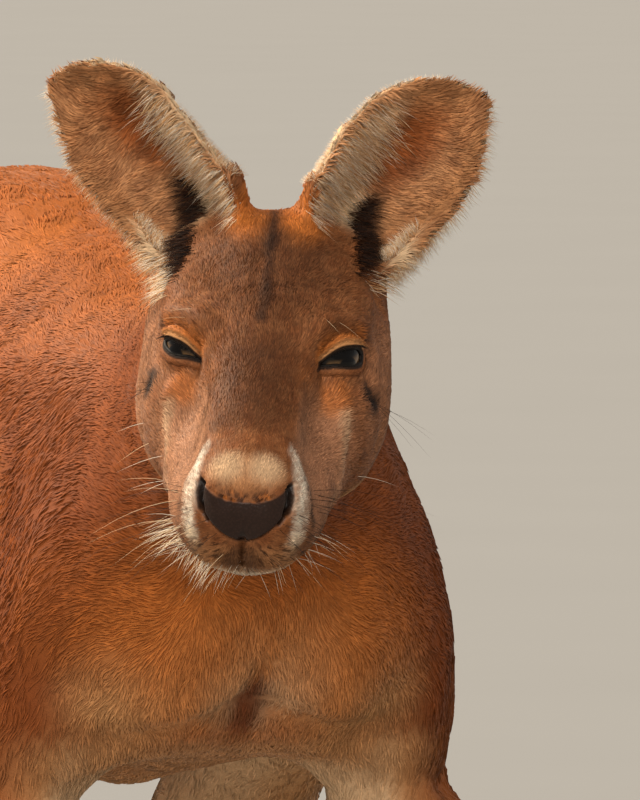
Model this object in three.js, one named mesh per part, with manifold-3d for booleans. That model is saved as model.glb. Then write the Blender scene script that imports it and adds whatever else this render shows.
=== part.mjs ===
// A male red kangaroo, life size, resting on all fours with its head turned to its right.
// Millimetres, +Z up. The animal faces -Y and its left side is +X. The floor is z = 0.
// The body is one smooth form, made of muscles and bones that melt together, and is then
// parted by thin cuts into the nodes that a person would name. Sizes include the coat.
import * as THREE from "three";
import { mergeVertices } from "three/addons/utils/BufferGeometryUtils.js";
import Module from "manifold-3d";

const wasm = await Module();
wasm.setup();

// ---------------------------------------------------------------- driving dimensions

const GAP = 0.3; // between neighbouring nodes
const GRID_PER_MM = 100; // steps of the grid on which the vertices lie
const HEAD_LENGTH = 219; // nose tip to the back of the skull
const EYE_SPACING = 65; // between the eyeballs' centres
const EYE_RADIUS = 16.5;
const LID_THICKNESS = 3.5;
const EAR_WIDTH = 74; // across the open cup
const EAR_THICKNESS = 5;
const HIP_HEIGHT = 488;
const HOCK_HEIGHT = 64;
const SHOULDER_HEIGHT = 428;
const HEAD_TURN = THREE.MathUtils.degToRad(-21); // about +Z, to its right
const HEAD_DROP = THREE.MathUtils.degToRad(20); // nose down
const HEAD_ROLL = THREE.MathUtils.degToRad(3.8); // left side down

/** A point so far to the animal's left, ahead of its heels, and above the floor. */
const at = (left, ahead, up) => new THREE.Vector3(left, -ahead, up);

/** The same point on the other side of the body. */
const across = (p) => new THREE.Vector3(-p.x, p.y, p.z);

// The joints of the left limbs. The right limbs mirror them.
const HIP = at(88, 200, HIP_HEIGHT);
const KNEE = at(158, 392, 345);
const HOCK = at(128, 24, HOCK_HEIGHT);
const HEEL = at(128, 2, 26);
const FOOT_BALL = at(140, 216, 20);
const SHOULDER = at(66, 756, SHOULDER_HEIGHT);
const ELBOW = at(112, 700, 286);
const WRIST = at(98, 786, 64);
const PALM = at(100, 822, 15);
const EYES_MIDDLE = at(-49, 990, 556);

// The tail's centre line, with its radius at each point.
const TAIL_PATH = [
  { at: at(0, 120, 486), radius: 84 },
  { at: at(0, 10, 392), radius: 72 },
  { at: at(0, -88, 258), radius: 60 },
  { at: at(0, -190, 134), radius: 52 },
  { at: at(4, -330, 60), radius: 46 },
  { at: at(12, -510, 35), radius: 36 },
  { at: at(22, -690, 25), radius: 26.5 },
  { at: at(30, -850, 11), radius: 12 },
];
const TAIL_STEPS = 14; // lengths of the smooth line through those points

// ---------------------------------------------------------------- fields
// A field gives a point's rough distance outside a form, and is negative inside it.

/** Two forms that melt together over the distance k. */
const melt = (a, b, k) => {
  const near = Math.max(k - Math.abs(a - b), 0) / k;
  return Math.min(a, b) - near * near * k * 0.25;
};

/** All the forms, melted together over the distance k. */
const blend = (k, ...forms) => (p) => forms.reduce((d, form) => melt(d, form(p), k), 1e4);

/** An egg of muscle: its centre, its radii, and how it is turned. */
const egg = (centre, radii, turn = new THREE.Euler()) => {
  const back = new THREE.Quaternion().setFromEuler(turn).invert();
  const q = new THREE.Vector3();
  const [rx, ry, rz] = radii;
  return (p) => {
    q.subVectors(p, centre).applyQuaternion(back);
    const near = Math.hypot(q.x / rx, q.y / ry, q.z / rz);
    const slope = Math.hypot(q.x / rx ** 2, q.y / ry ** 2, q.z / rz ** 2);
    return slope < 1e-9 ? -Math.min(rx, ry, rz) : (near * (near - 1)) / slope;
  };
};

/** A bone with its flesh, from a to b, tapering from ra to rb. The form is `flat` times
 * thinner along `thin`. */
const bone = (a, b, ra, rb, thin = null, flat = 1) => {
  const along = b.clone().sub(a);
  const q = new THREE.Vector3();
  return (p) => {
    q.subVectors(p, a);
    const t = THREE.MathUtils.clamp(q.dot(along) / along.lengthSq(), 0, 1);
    q.addScaledVector(along, -t);
    if (thin) q.addScaledVector(thin, q.dot(thin) * (flat - 1));
    return q.length() - THREE.MathUtils.lerp(ra, rb, t);
  };
};

/** A form and its mirror image about the body's middle plane. */
const bothSides = (form) => {
  const q = new THREE.Vector3();
  return (p) => form(q.set(Math.abs(p.x), p.y, p.z));
};

/** A form that is described in a frame of its own. */
const inFrame = (frame, form) => {
  const inverse = frame.clone().invert();
  const q = new THREE.Vector3();
  return (p) => form(q.copy(p).applyMatrix4(inverse));
};

// ---------------------------------------------------------------- the body's forms

const SIDEWAYS = new THREE.Vector3(1, 0, 0);
const tilted = (degrees) => new THREE.Euler(THREE.MathUtils.degToRad(degrees), 0, 0);

const chest = () =>
  bothSides(
    blend(
      45,
      egg(at(0, 618, 446), [118, 205, 140], tilted(-6)), // rib cage
      egg(at(50, 704, 460), [42, 96, 78], tilted(18)), // shoulder blade
      egg(at(40, 776, 428), [50, 62, 72], tilted(-12)), // breast muscle
      egg(at(28, 728, 374), [50, 90, 44]), // keel of the breast
      bone(at(0, 755, 494), at(0, 600, 512), 46, 76), // withers
    ),
  );

const belly = () =>
  bothSides(
    blend(
      60,
      egg(at(0, 400, 492), [124, 215, 132], tilted(2)), // loin
      egg(at(0, 490, 405), [130, 205, 118], tilted(-4)), // belly
      egg(at(0, 215, 484), [116, 160, 120], tilted(-20)), // rump
      egg(at(52, 330, 508), [56, 130, 74]), // loin muscle
    ),
  );

const NECK_BASE = at(0, 742, 486);
const NECK_TOP = at(-26, 896, 552);
const neck = () =>
  blend(
    30,
    bone(NECK_BASE, NECK_TOP, 70, 54),
    bone(at(0, 770, 440), at(-26, 892, 514), 58, 44), // throat
    bone(at(0, 700, 508), at(-18, 884, 572), 44, 38), // nape
  );

const TAIL_LINE = new THREE.CatmullRomCurve3(TAIL_PATH.map((point) => point.at));
/** The tail's middle and its radius, so far along it from 0 to 1. */
const onTail = (t) => {
  const last = TAIL_PATH.length - 1;
  const i = Math.min(Math.floor(t * last), last - 1);
  const radius = THREE.MathUtils.lerp(TAIL_PATH[i].radius, TAIL_PATH[i + 1].radius, t * last - i);
  return { at: TAIL_LINE.getPoint(t), radius };
};

const tail = () => {
  const lengths = Array.from({ length: TAIL_STEPS }, (_, i) => {
    const [a, b] = [onTail(i / TAIL_STEPS), onTail((i + 1) / TAIL_STEPS)];
    return bone(a.at, b.at, a.radius, b.radius);
  });
  return blend(12, ...lengths);
};

const thigh = () =>
  blend(
    40,
    bone(HIP, KNEE, 98, 56, SIDEWAYS, 1.25),
    egg(at(116, 262, 432), [60, 160, 100], tilted(32)), // outer thigh
    egg(at(104, 165, 436), [54, 104, 100], tilted(14)), // hamstrings
    bone(at(108, 140, 432), at(140, 300, 348), 58, 46, SIDEWAYS, 1.2), // back of the thigh
    bone(at(122, 350, 436), KNEE, 70, 50, SIDEWAYS, 1.2), // front of the thigh
  );

const shank = () => {
  const calf = KNEE.clone().lerp(HOCK, 0.3).add(at(0, -14, -16));
  return blend(
    26,
    bone(KNEE, HOCK, 50, 25, SIDEWAYS, 1.12),
    egg(calf, [42, 108, 44], tilted(-37)), // calf
    bone(calf, HEEL, 30, 15), // heel tendon
    egg(KNEE.clone().add(at(0, 8, 0)), [38, 44, 44]), // knee cap
  );
};

const FOOT_SLOPE = FOOT_BALL.clone().sub(HEEL).normalize();
/** A point of the left foot, so far ahead of the heel and to the left of its middle line. */
const onFoot = (ahead, left, up) =>
  HEEL.clone()
    .addScaledVector(FOOT_SLOPE, ahead)
    .add(new THREE.Vector3(left, 0, 0))
    .setZ(up);

// Each toe, from the root of its own bone to its tip.
const TOES = {
  fourth: { from: onFoot(196, 2, 20), to: onFoot(318, 5, 15), radii: [22, 14], claw: 40 },
  fifth: { from: onFoot(176, 24, 18), to: onFoot(262, 38, 12), radii: [15, 10], claw: 27 },
  third: { from: onFoot(168, -19, 18), to: onFoot(244, -25, 11), radii: [10, 6.5], claw: 15 },
  second: { from: onFoot(166, -27, 17), to: onFoot(238, -37, 10), radii: [9, 6], claw: 15 },
};

const foot = () =>
  blend(
    14,
    bone(HEEL, FOOT_BALL, 29, 25, new THREE.Vector3(0, 0, 1), 1.12),
    bone(HOCK, HEEL, 24, 26),
    bone(HOCK, onFoot(120, 0, 30), 23, 22), // instep
    bone(onFoot(120, 8, 20), onFoot(190, 16, 18), 24, 20),
    bone(onFoot(110, -10, 20), onFoot(180, -16, 17), 18, 15),
    ...Object.values(TOES).map((toe) => bone(toe.from, toe.to, ...toe.radii)),
  );

const upperArm = () =>
  blend(
    24,
    bone(SHOULDER, ELBOW, 42, 33),
    egg(at(99, 736, 370), [33, 46, 68], tilted(18)), // biceps
    egg(at(106, 690, 366), [31, 40, 72], tilted(-6)), // triceps
  );

const forearm = () =>
  blend(
    18,
    bone(ELBOW, WRIST, 33, 18),
    egg(at(112, 724, 234), [32, 36, 60], tilted(20)), // forearm muscle
    bone(at(112, 684, 292), ELBOW, 18, 26), // point of the elbow
  );

// The fingers spread from the palm, at these angles outwards, in degrees.
const FINGERS = [-30, -12, 6, 24, 44].map((angle, i) => {
  const turn = THREE.MathUtils.degToRad(angle);
  const way = at(Math.sin(turn), Math.cos(turn), 0);
  const reach = [56, 68, 72, 68, 56][i];
  return {
    way,
    from: PALM.clone().addScaledVector(way, 18).setZ(17),
    to: PALM.clone().addScaledVector(way, reach).setZ(8.5),
  };
});
const FINGER_CLAW = 25;

const hand = () =>
  blend(
    10,
    bone(WRIST, PALM, 18, 19),
    egg(PALM, [30, 34, 17]),
    ...FINGERS.map((finger) => bone(finger.from, finger.to, 11.5, 7.5)),
  );

// The head's own frame: its origin is midway between the eyes, -Y runs to the nose. Its forms
// are drawn for a head of 219 mm.
const HEAD_SCALE = HEAD_LENGTH / 219;
const HEAD = new THREE.Matrix4()
  .makeTranslation(EYES_MIDDLE)
  .multiply(new THREE.Matrix4().makeRotationZ(HEAD_TURN))
  .multiply(new THREE.Matrix4().makeRotationX(HEAD_DROP))
  .multiply(new THREE.Matrix4().makeRotationY(HEAD_ROLL))
  .multiply(new THREE.Matrix4().makeScale(HEAD_SCALE, HEAD_SCALE, HEAD_SCALE));
const EYE = at(EYE_SPACING / 2, 4, 3);
const EYE_TURN = THREE.MathUtils.degToRad(42); // outwards from straight ahead

const skull = () =>
  bothSides(
    blend(
      14,
      egg(at(0, -52, -2), [54, 56, 56]), // cranium
      egg(at(0, -6, 4), [39, 55, 33]), // brow
      bone(at(0, 8, 8), at(0, 92, -23), 27, 20), // bridge of the nose
      bone(at(11, 56, -16), at(12, 100, -30), 15, 15), // flat top of the muzzle
      bone(at(26, 22, -38), at(15, 90, -46), 22, 19), // side of the muzzle
      egg(at(14, 88, -50), [20, 32, 23]), // upper lip
      egg(at(0, 106, -35), [27, 19, 22]), // nose
      bone(at(0, 10, -56), at(0, 94, -63), 29, 16), // lower jaw
      bone(at(26, -10, -56), at(12, 72, -62), 24, 16), // side of the jaw
      egg(at(37, -16, -38), [27, 48, 41], tilted(-8)), // cheek
      bone(at(46, -44, -8), at(36, 16, -24), 19, 16), // cheekbone
      bone(at(28, 14, 19), at(43, -26, 18), 10, 14), // brow ridge
      egg(EYE, [EYE_RADIUS + LID_THICKNESS, EYE_RADIUS + LID_THICKNESS, EYE_RADIUS + LID_THICKNESS]),
      egg(at(36, -72, 14), [22, 24, 26]), // root of the ear
    ),
  );

const HEAD_FORM = inFrame(HEAD, skull());
const TORSO = blend(46, chest(), belly());
const WITH_TAIL = blend(50, TORSO, tail());
const WITH_LEGS = blend(42, WITH_TAIL, bothSides(thigh()));
const WITH_ARMS = blend(30, WITH_LEGS, bothSides(upperArm()));
const BODY = blend(34, WITH_ARMS, neck());
const BODY_AND_HEAD = blend(28, BODY, HEAD_FORM);
const ARM = blend(20, upperArm(), forearm());
const ARM_AND_HAND = blend(12, ARM, hand());
const LEG = blend(30, thigh(), shank());
const LEG_AND_FOOT = blend(24, LEG, foot());

// ---------------------------------------------------------------- skin and solids

const CORNERS = [0, 1].flatMap((x) => [0, 1].flatMap((y) => [0, 1].map((z) => [x, y, z])));
const EDGES = CORNERS.flatMap((a, i) =>
  CORNERS.flatMap((b, j) =>
    i < j && a.filter((v, k) => v !== b[k]).length === 1 ? [[i, j]] : [],
  ),
);

/** Moves a point on to the surface of a form, along the form's own slope. */
function settle(form, p) {
  const step = 0.5;
  const q = new THREE.Vector3();
  for (let round = 0; round < 3; round++) {
    const d = form(p);
    const slope = new THREE.Vector3(
      form(q.set(p.x + step, p.y, p.z)) - d,
      form(q.set(p.x, p.y + step, p.z)) - d,
      form(q.set(p.x, p.y, p.z + step)) - d,
    ).divideScalar(step);
    p.addScaledVector(slope, -THREE.MathUtils.clamp(d, -8, 8) / Math.max(slope.lengthSq(), 0.2));
  }
  return p;
}

/** The skin of a form inside a box: one vertex in each cell of a grid that the skin crosses,
 * joined in quads round each edge of the grid that it crosses. The skin closes at the box's
 * sides, where cuts then trim it. `frame` places the box, whose middle is its origin. */
function skin(form, frame, size, cell) {
  const counts = size.map((s, i) => Math.ceil(s / cell[i]));
  const stride = [1, counts[0] + 1, (counts[0] + 1) * (counts[1] + 1)];
  const place = (i, j, k) =>
    new THREE.Vector3(
      (i - counts[0] / 2) * cell[0],
      (j - counts[1] / 2) * cell[1],
      (k - counts[2] / 2) * cell[2],
    );
  const inside = place(...counts).subScalar(0.5);
  const local = (p) =>
    Math.max(
      Math.abs(p.x) - inside.x,
      Math.abs(p.y) - inside.y,
      Math.abs(p.z) - inside.z,
      form(p.clone().applyMatrix4(frame)),
    );
  const values = new Float32Array(stride[2] * (counts[2] + 1));
  const each = (limit, run) => {
    for (let k = 0; k < limit[2]; k++)
      for (let j = 0; j < limit[1]; j++) for (let i = 0; i < limit[0]; i++) run(i, j, k);
  };
  const index = (i, j, k) => i + j * stride[1] + k * stride[2];
  each(
    counts.map((n) => n + 1),
    (i, j, k) => {
      values[index(i, j, k)] = local(place(i, j, k));
    },
  );

  const vertexOf = new Map();
  const positions = [];
  each(counts, (i, j, k) => {
    const corners = CORNERS.map(([a, b, c]) => values[index(i + a, j + b, k + c)]);
    const crossings = EDGES.filter(([a, b]) => corners[a] < 0 !== corners[b] < 0).map(([a, b]) => {
      const t = corners[a] / (corners[a] - corners[b]);
      return CORNERS[a].map((v, n) => THREE.MathUtils.lerp(v, CORNERS[b][n], t));
    });
    if (!crossings.length) return;
    const middle = [0, 1, 2].map((n) => crossings.reduce((s, c) => s + c[n], 0) / crossings.length);
    const p = place(i + middle[0], j + middle[1], k + middle[2]);
    vertexOf.set(index(i, j, k), positions.length / 3);
    settle(form, p.applyMatrix4(frame));
    positions.push(p.x, p.y, p.z);
  });

  const faces = [];
  each(counts, (i, j, k) => {
    const here = values[index(i, j, k)] < 0;
    [0, 1, 2].forEach((axis) => {
      const [u, v] = [(axis + 1) % 3, (axis + 2) % 3];
      if ([i, j, k][u] === 0 || [i, j, k][v] === 0) return;
      if (values[index(i, j, k) + stride[axis]] < 0 === here) return;
      const base = index(i, j, k);
      const ring = [base, base - stride[u], base - stride[u] - stride[v], base - stride[v]].map(
        (cellIndex) => vertexOf.get(cellIndex),
      );
      if (!here) ring.reverse();
      faces.push(...quad(positions, ring));
    });
  });
  return { positions: new Float32Array(positions), faces: new Uint32Array(faces) };
}

/** Two triangles over four vertices, split along the shorter diagonal. */
function quad(positions, [a, b, c, d]) {
  const far = (m, n) =>
    [0, 1, 2].reduce((s, i) => s + (positions[m * 3 + i] - positions[n * 3 + i]) ** 2, 0);
  return far(a, c) < far(b, d) ? [a, b, c, a, c, d] : [b, c, d, b, d, a];
}

const solid = ({ positions, faces }) =>
  new wasm.Manifold(
    new wasm.Mesh({ numProp: 3, vertProperties: positions, triVerts: faces }),
  );

/** A three.js geometry, in its place, as a solid. */
function solidOf(geometry, frame = new THREE.Matrix4()) {
  const bare = geometry.clone().applyMatrix4(frame);
  bare.deleteAttribute("normal");
  bare.deleteAttribute("uv");
  const merged = mergeVertices(bare, 1e-4);
  return solid({
    positions: merged.attributes.position.array,
    faces: new Uint32Array(merged.index.array),
  });
}

/** A frame whose origin is midway from a to b and whose z axis runs from a to b. */
function frameAlong(a, b) {
  const z = b.clone().sub(a).normalize();
  const x = SIDEWAYS.clone().addScaledVector(z, -z.x).normalize();
  const y = new THREE.Vector3().crossVectors(z, x);
  return new THREE.Matrix4().makeBasis(x, y, z).setPosition(a.clone().lerp(b, 0.5));
}

/** All that lies beyond a plane, and half a gap on this side of it. */
function beyond(point, way) {
  const side = 3000;
  const middle = point.clone().addScaledVector(way, (side - GAP) / 2);
  const frame = frameAlong(middle, middle.clone().add(way)).setPosition(middle);
  return solidOf(new THREE.BoxGeometry(side, side, side), frame);
}

/** A plane across a limb: the point where it cuts, and the way that it faces. */
const cutAt = (a, b, t = 0.5) => ({
  point: a.clone().lerp(b, t),
  way: b.clone().sub(a).normalize(),
});
const ahead = ({ point, way }) => beyond(point, way);
const behind = ({ point, way }) => beyond(point, way.clone().negate());

/** A rounded cutter round a limb, from a to b, as a shell of so many millimetres more. */
function sleeve(a, b, ra, rb, scale, more = 0) {
  const length = a.distanceTo(b);
  const outline = [new THREE.Vector2(0, -length / 2 - ra - more)];
  const steps = 3;
  for (let i = 1; i < steps; i++) {
    const angle = (i / steps) * (Math.PI / 2);
    outline.push(
      new THREE.Vector2(Math.sin(angle) * (ra + more), -length / 2 - Math.cos(angle) * (ra + more)),
    );
  }
  for (let i = 0; i < steps; i++) {
    const angle = (i / steps) * (Math.PI / 2);
    outline.push(
      new THREE.Vector2(Math.cos(angle) * (rb + more), length / 2 + Math.sin(angle) * (rb + more)),
    );
  }
  outline.push(new THREE.Vector2(0, length / 2 + rb + more));
  const geometry = new THREE.LatheGeometry(outline, 12).rotateX(Math.PI / 2).scale(...scale);
  return solidOf(geometry, frameAlong(a, b));
}

/** Flips a solid to the other side of the body. */
const mirrored = (body) => body.mirror([1, 0, 0]);

/** The body with each of the cutters taken away. */
const without = (body, ...cutters) => cutters.reduce((rest, cutter) => rest.subtract(cutter), body);

const centred = (centre) => new THREE.Matrix4().makeTranslation(centre);

/** A skin that stands out from another by so much, with the same facets. */
function swollen({ positions, faces }, by) {
  const geometry = new THREE.BufferGeometry()
    .setAttribute("position", new THREE.BufferAttribute(positions, 3))
    .setIndex(new THREE.BufferAttribute(faces, 1));
  geometry.computeVertexNormals();
  const normals = geometry.attributes.normal.array;
  return { positions: positions.map((v, i) => v + normals[i] * by), faces };
}

// ---------------------------------------------------------------- cuts

const HEAD_CUT = {
  point: at(0, -84, -14).applyMatrix4(HEAD),
  way: at(0, -1, 0)
    .transformDirection(HEAD)
    .add(NECK_BASE.clone().sub(NECK_TOP).normalize())
    .normalize(),
};
const NECK_ROOT_CUT = { point: at(-2, 800, 486), way: at(-0.1, 0.93, 0.36).normalize() };
const WAIST_CUT = { point: at(0, 505, 450), way: at(0, 1, -0.05).normalize() };
// Where the tail is cut across, as a part of its length.
const TAIL_CUTS = [0.13, 0.34, 0.57, 0.76].map((t) => ({
  point: onTail(t).at,
  way: TAIL_LINE.getTangent(t),
}));
const TAIL_CELLS = [36, 30, 25, 18]; // across each length of the tail
const ELBOW_CUT = { point: ELBOW.clone().add(at(0, 4, 10)), way: at(0, 0.1, -1).normalize() };
const WRIST_CUT = cutAt(ELBOW, WRIST, 0.97);
const KNEE_CUT = { point: KNEE.clone().add(at(0, -34, -2)), way: at(0.05, 0.2, -1).normalize() };
const HOCK_CUT = { point: HOCK.clone().add(at(0, 0, -6)), way: at(0, 0.34, -0.94).normalize() };
const FLOOR_CUT = { point: at(0, 0, -GAP / 2), way: at(0, 0, -1) };

const thighSleeve = (more) =>
  sleeve(at(140, 180, 470), at(160, 400, 362), 122, 84, [0.66, 1, 1], more);
/** The room under the thigh's own cut, beside the belly, where the shank lies. */
const kneeRoom = () =>
  solidOf(new THREE.BoxGeometry(400, 1500, 1000), centred(at(280, -280, -50))).intersect(
    ahead(KNEE_CUT),
  );
const armSleeve = (more) =>
  sleeve(at(116, 742, 436), at(118, 700, 290), 66, 66, [0.86, 1, 1], more);

// ---------------------------------------------------------------- claws, ears and lids

/** A frame at a point, whose z axis runs in a level direction and whose y axis points up. */
function facing(point, way) {
  const up = new THREE.Vector3(0, 0, 1);
  return new THREE.Matrix4()
    .makeBasis(new THREE.Vector3().crossVectors(up, way), up, way)
    .setPosition(point);
}

/** A claw along +z, deeper than it is wide, whose point comes down by `droop`. */
function clawHorn(length, radius, droop) {
  const [sides, rings] = [5, 3];
  const geometry = new THREE.CylinderGeometry(radius * 0.1, radius, length, sides, rings);
  geometry.rotateX(Math.PI / 2).translate(0, 0, length / 2);
  const p = geometry.attributes.position;
  for (let i = 0; i < p.count; i++) {
    const t = Math.max(p.getZ(i) / length, 0);
    const bulge = 1 + 0.5 * t * (1 - t);
    p.setXYZ(i, p.getX(i) * bulge * 0.8, p.getY(i) * bulge * 1.1 - droop * t ** 1.8, p.getZ(i));
  }
  return geometry;
}

// Each ear leans its own way, in the head's frame: its root and its tip, and the way that its
// cup opens. `inwards` is the side on which it bows towards the other ear.
const EARS = {
  left: { root: at(36, -66, 38), tip: at(104, -122, 94), open: at(0.3, 0.84, 0.45), inwards: -1 },
  right: { root: at(-36, -66, 38), tip: at(-122, -112, 92), open: at(-0.62, 0.68, 0.42), inwards: 1 },
};

// How wide an ear is, how far its middle bows inwards, and how far round its cup is rolled,
// from the root to the tip.
const EAR_SHAPE = [
  { along: -0.16, width: 0.4, bow: 0, roll: 112 },
  { along: 0, width: 0.66, bow: 0.02, roll: 104 },
  { along: 0.14, width: 0.84, bow: 0.07, roll: 88 },
  { along: 0.36, width: 0.98, bow: 0.12, roll: 70 },
  { along: 0.56, width: 0.96, bow: 0.13, roll: 58 },
  { along: 0.72, width: 0.82, bow: 0.12, roll: 50 },
  { along: 0.86, width: 0.56, bow: 0.13, roll: 44 },
  { along: 0.96, width: 0.3, bow: 0.1, roll: 40 },
  { along: 1.01, width: 0.07, bow: 0.05, roll: 38 },
];
const EAR_COLUMNS = 6; // facets across the cup

/** The cup of an ear, in the head's frame: rings of an inner and an outer sheet, joined. */
function earCup({ root, tip, open, inwards }) {
  const axis = tip.clone().sub(root);
  const front = open.clone().projectOnPlane(axis.clone().normalize()).normalize();
  const over = new THREE.Vector3().crossVectors(axis, front).normalize().multiplyScalar(inwards);
  const positions = EAR_SHAPE.flatMap(({ along, width, bow, roll }) => {
    const arc = THREE.MathUtils.degToRad(roll);
    const radius = (width * EAR_WIDTH) / 2 / Math.sin(Math.min(arc, Math.PI / 2));
    const place = (column, thickness) => {
      const t = (2 * column) / EAR_COLUMNS - 1;
      const r = radius + thickness * (1 - 0.6 * Math.abs(t) ** 6);
      return root
        .clone()
        .addScaledVector(axis, along)
        .addScaledVector(over, bow * EAR_WIDTH + r * Math.sin(arc * t))
        .addScaledVector(front, radius * Math.cos(Math.min(arc, 1.2)) - r * Math.cos(arc * t))
        .toArray();
    };
    const columns = Array.from({ length: EAR_COLUMNS + 1 }, (_, c) => c);
    const inner = columns.map((c) => place(c, 0));
    const outer = columns.map((c) => place(c, EAR_THICKNESS)).reverse();
    return [...inner, ...outer].flat();
  });
  const faces = loftFaces(EAR_SHAPE.length, 2 * (EAR_COLUMNS + 1));
  if (inwards < 0) faces.reverse();
  return { positions: new Float32Array(positions), faces: new Uint32Array(faces) };
}

/** Faces round a loft of flattened rings, with a strip across each end. */
function loftFaces(rows, ring) {
  const faces = [];
  const addQuad = (a, b, c, d) => faces.push(a, b, c, a, c, d);
  for (let row = 0; row + 1 < rows; row++)
    for (let c = 0; c < ring; c++) {
      const [here, next] = [row * ring + c, row * ring + ((c + 1) % ring)];
      addQuad(here, next, next + ring, here + ring);
    }
  const top = (rows - 1) * ring;
  for (let c = 0; c + 1 < ring / 2; c++) {
    const back = ring - 1 - c;
    addQuad(c, back, back - 1, c + 1);
    addQuad(top + c, top + c + 1, top + back - 1, top + back);
  }
  return faces;
}

/** The almond that opens the lids, in the head's frame. */
function lidOpening(side) {
  const almond = new THREE.SphereGeometry(1, 12, 8).scale(16, 20, 6);
  almond.rotateY(THREE.MathUtils.degToRad(-6)).rotateZ(EYE_TURN);
  const outwards = at(Math.sin(EYE_TURN), Math.cos(EYE_TURN), 0).multiplyScalar(EYE_RADIUS + 4);
  almond.translate(...EYE.clone().add(outwards).add(at(-2.5, 0, 3)).toArray());
  if (side < 0) {
    almond.scale(-1, 1, 1);
    almond.index.array.reverse();
  }
  return almond;
}

// ---------------------------------------------------------------- nodes

const materialOf = (color, roughness) =>
  new THREE.MeshStandardMaterial({ color, roughness, metalness: 0 });
const COAT = materialOf(0x9c5426, 0.85);
const FACE = materialOf(0x8a5a3c, 0.85);
const EAR_SKIN = materialOf(0x9a6a48, 0.8);
const EYE_GLOSS = materialOf(0x120b08, 0.08);
const CLAW_HORN = materialOf(0x2a2320, 0.45);

const kangaroo = new THREE.Group();

/** A solid's mesh with its vertices on a fine grid, less the slivers that this closes. */
function tidyGeometry(body) {
  const { vertProperties, triVerts } = body.getMesh();
  const onGrid = vertProperties.map((v) => Math.round(v * GRID_PER_MM) / GRID_PER_MM);
  const geometry = new THREE.BufferGeometry()
    .setAttribute("position", new THREE.BufferAttribute(onGrid, 3))
    .setIndex(new THREE.BufferAttribute(triVerts, 1));
  const merged = mergeVertices(geometry, 0.1 / GRID_PER_MM);
  const faces = new Map();
  for (let i = 0; i < merged.index.count; i += 3) {
    const face = [...merged.index.array.slice(i, i + 3)];
    if (new Set(face).size < 3) continue;
    const key = face.toSorted((a, b) => a - b).join();
    if (faces.has(key)) faces.delete(key);
    else faces.set(key, face);
  }
  return merged.setIndex([...faces.values()].flat());
}

/** Adds a solid to a group as a named mesh, whose origin is the middle of its own box. */
function addNode(group, name, body, material) {
  const geometry = tidyGeometry(body);
  geometry.computeBoundingBox();
  const middle = geometry.boundingBox.getCenter(new THREE.Vector3());
  geometry.translate(...middle.clone().negate().toArray()).computeVertexNormals();
  const mesh = new THREE.Mesh(geometry, material.clone());
  mesh.name = name;
  mesh.position.copy(middle);
  group.add(mesh);
}

/** A named group inside the kangaroo. */
function addGroup(name) {
  const group = new THREE.Group();
  group.name = name;
  kangaroo.add(group);
  return group;
}

/** Adds a node of the left side, and its mirror image on the right. */
function addPair(group, name, body, material) {
  addNode(group, `${name}_left`, body, material);
  addNode(group, `${name}_right`, mirrored(body), material);
}

function addTrunk() {
  const group = addGroup("trunk");
  const arms = [armSleeve(GAP), mirrored(armSleeve(GAP))];
  const thighs = [thighSleeve(GAP), mirrored(thighSleeve(GAP))];
  const front = solid(skin(BODY, centred(at(0, 680, 460)), [320, 460, 420], [46, 60, 46]));
  addNode(group, "chest", without(front, ahead(NECK_ROOT_CUT), behind(WAIST_CUT), ...arms), COAT);
  const rear = solid(skin(BODY, centred(at(0, 280, 450)), [420, 660, 460], [55, 72, 56]));
  const knees = [kneeRoom(), mirrored(kneeRoom())];
  const rearCuts = [ahead(WAIST_CUT), ahead(TAIL_CUTS[0]), ...thighs, ...knees];
  addNode(group, "abdomen", without(rear, ...rearCuts), COAT);
  const column = skin(BODY_AND_HEAD, frameAlong(NECK_BASE, NECK_TOP), [260, 300, 340], [34, 34, 38]);
  const neckCuts = [behind(HEAD_CUT), behind(NECK_ROOT_CUT)];
  addNode(group, "neck", without(solid(column), ...neckCuts), COAT);
}

function addTail() {
  const group = addGroup("tail");
  const form = tail();
  const ends = [...TAIL_CUTS.map((cut) => cut.point), TAIL_LINE.getPoint(1)];
  TAIL_CUTS.forEach((cut, i) => {
    const [a, b] = [ends[i], ends[i + 1]];
    const size = [200, 200, a.distanceTo(b) + 130];
    const across = TAIL_CELLS[i];
    const length = skin(i ? form : WITH_TAIL, frameAlong(a, b), size, [across, across, 54]);
    const next = TAIL_CUTS.slice(i + 1, i + 2).map(ahead);
    const cuts = [behind(cut), ahead(FLOOR_CUT), ...next];
    addNode(group, `tail_${i + 1}`, without(solid(length), ...cuts), COAT);
  });
}

function addHindLegs() {
  const group = addGroup("hind_legs");
  const haunch = solid(skin(BODY, centred(at(140, 270, 440)), [300, 480, 420], [38, 48, 42]));
  addPair(group, "thigh", haunch.intersect(thighSleeve(0)).subtract(ahead(KNEE_CUT)), COAT);
  const calf = solid(skin(LEG_AND_FOOT, frameAlong(HOCK, KNEE), [190, 260, 560], [29, 30, 50]));
  addPair(group, "shank", without(calf, behind(KNEE_CUT), ahead(HOCK_CUT)), COAT);
  const sole = skin(LEG_AND_FOOT, centred(at(138, 156, 50)), [130, 400, 130], [19, 34, 18.5]);
  addPair(group, "foot", without(solid(sole), behind(HOCK_CUT), ahead(FLOOR_CUT)), COAT);
  const cutters = [solid(swollen(sole, GAP)), ahead(FLOOR_CUT)];
  Object.entries(TOES).forEach(([toe, { from, to, radii, claw }]) => {
    const way = to.clone().sub(from).setZ(0).normalize();
    const root = to.clone().addScaledVector(way, radii[1] * 0.35).setZ(radii[1] * 0.95);
    const horn = clawHorn(claw + radii[1] * 0.65, radii[1] * 0.62, root.z * 0.8);
    const body = without(solidOf(horn, facing(root, way)), ...cutters);
    addPair(group, `claw_${toe}`, body, CLAW_HORN);
  });
}

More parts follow.
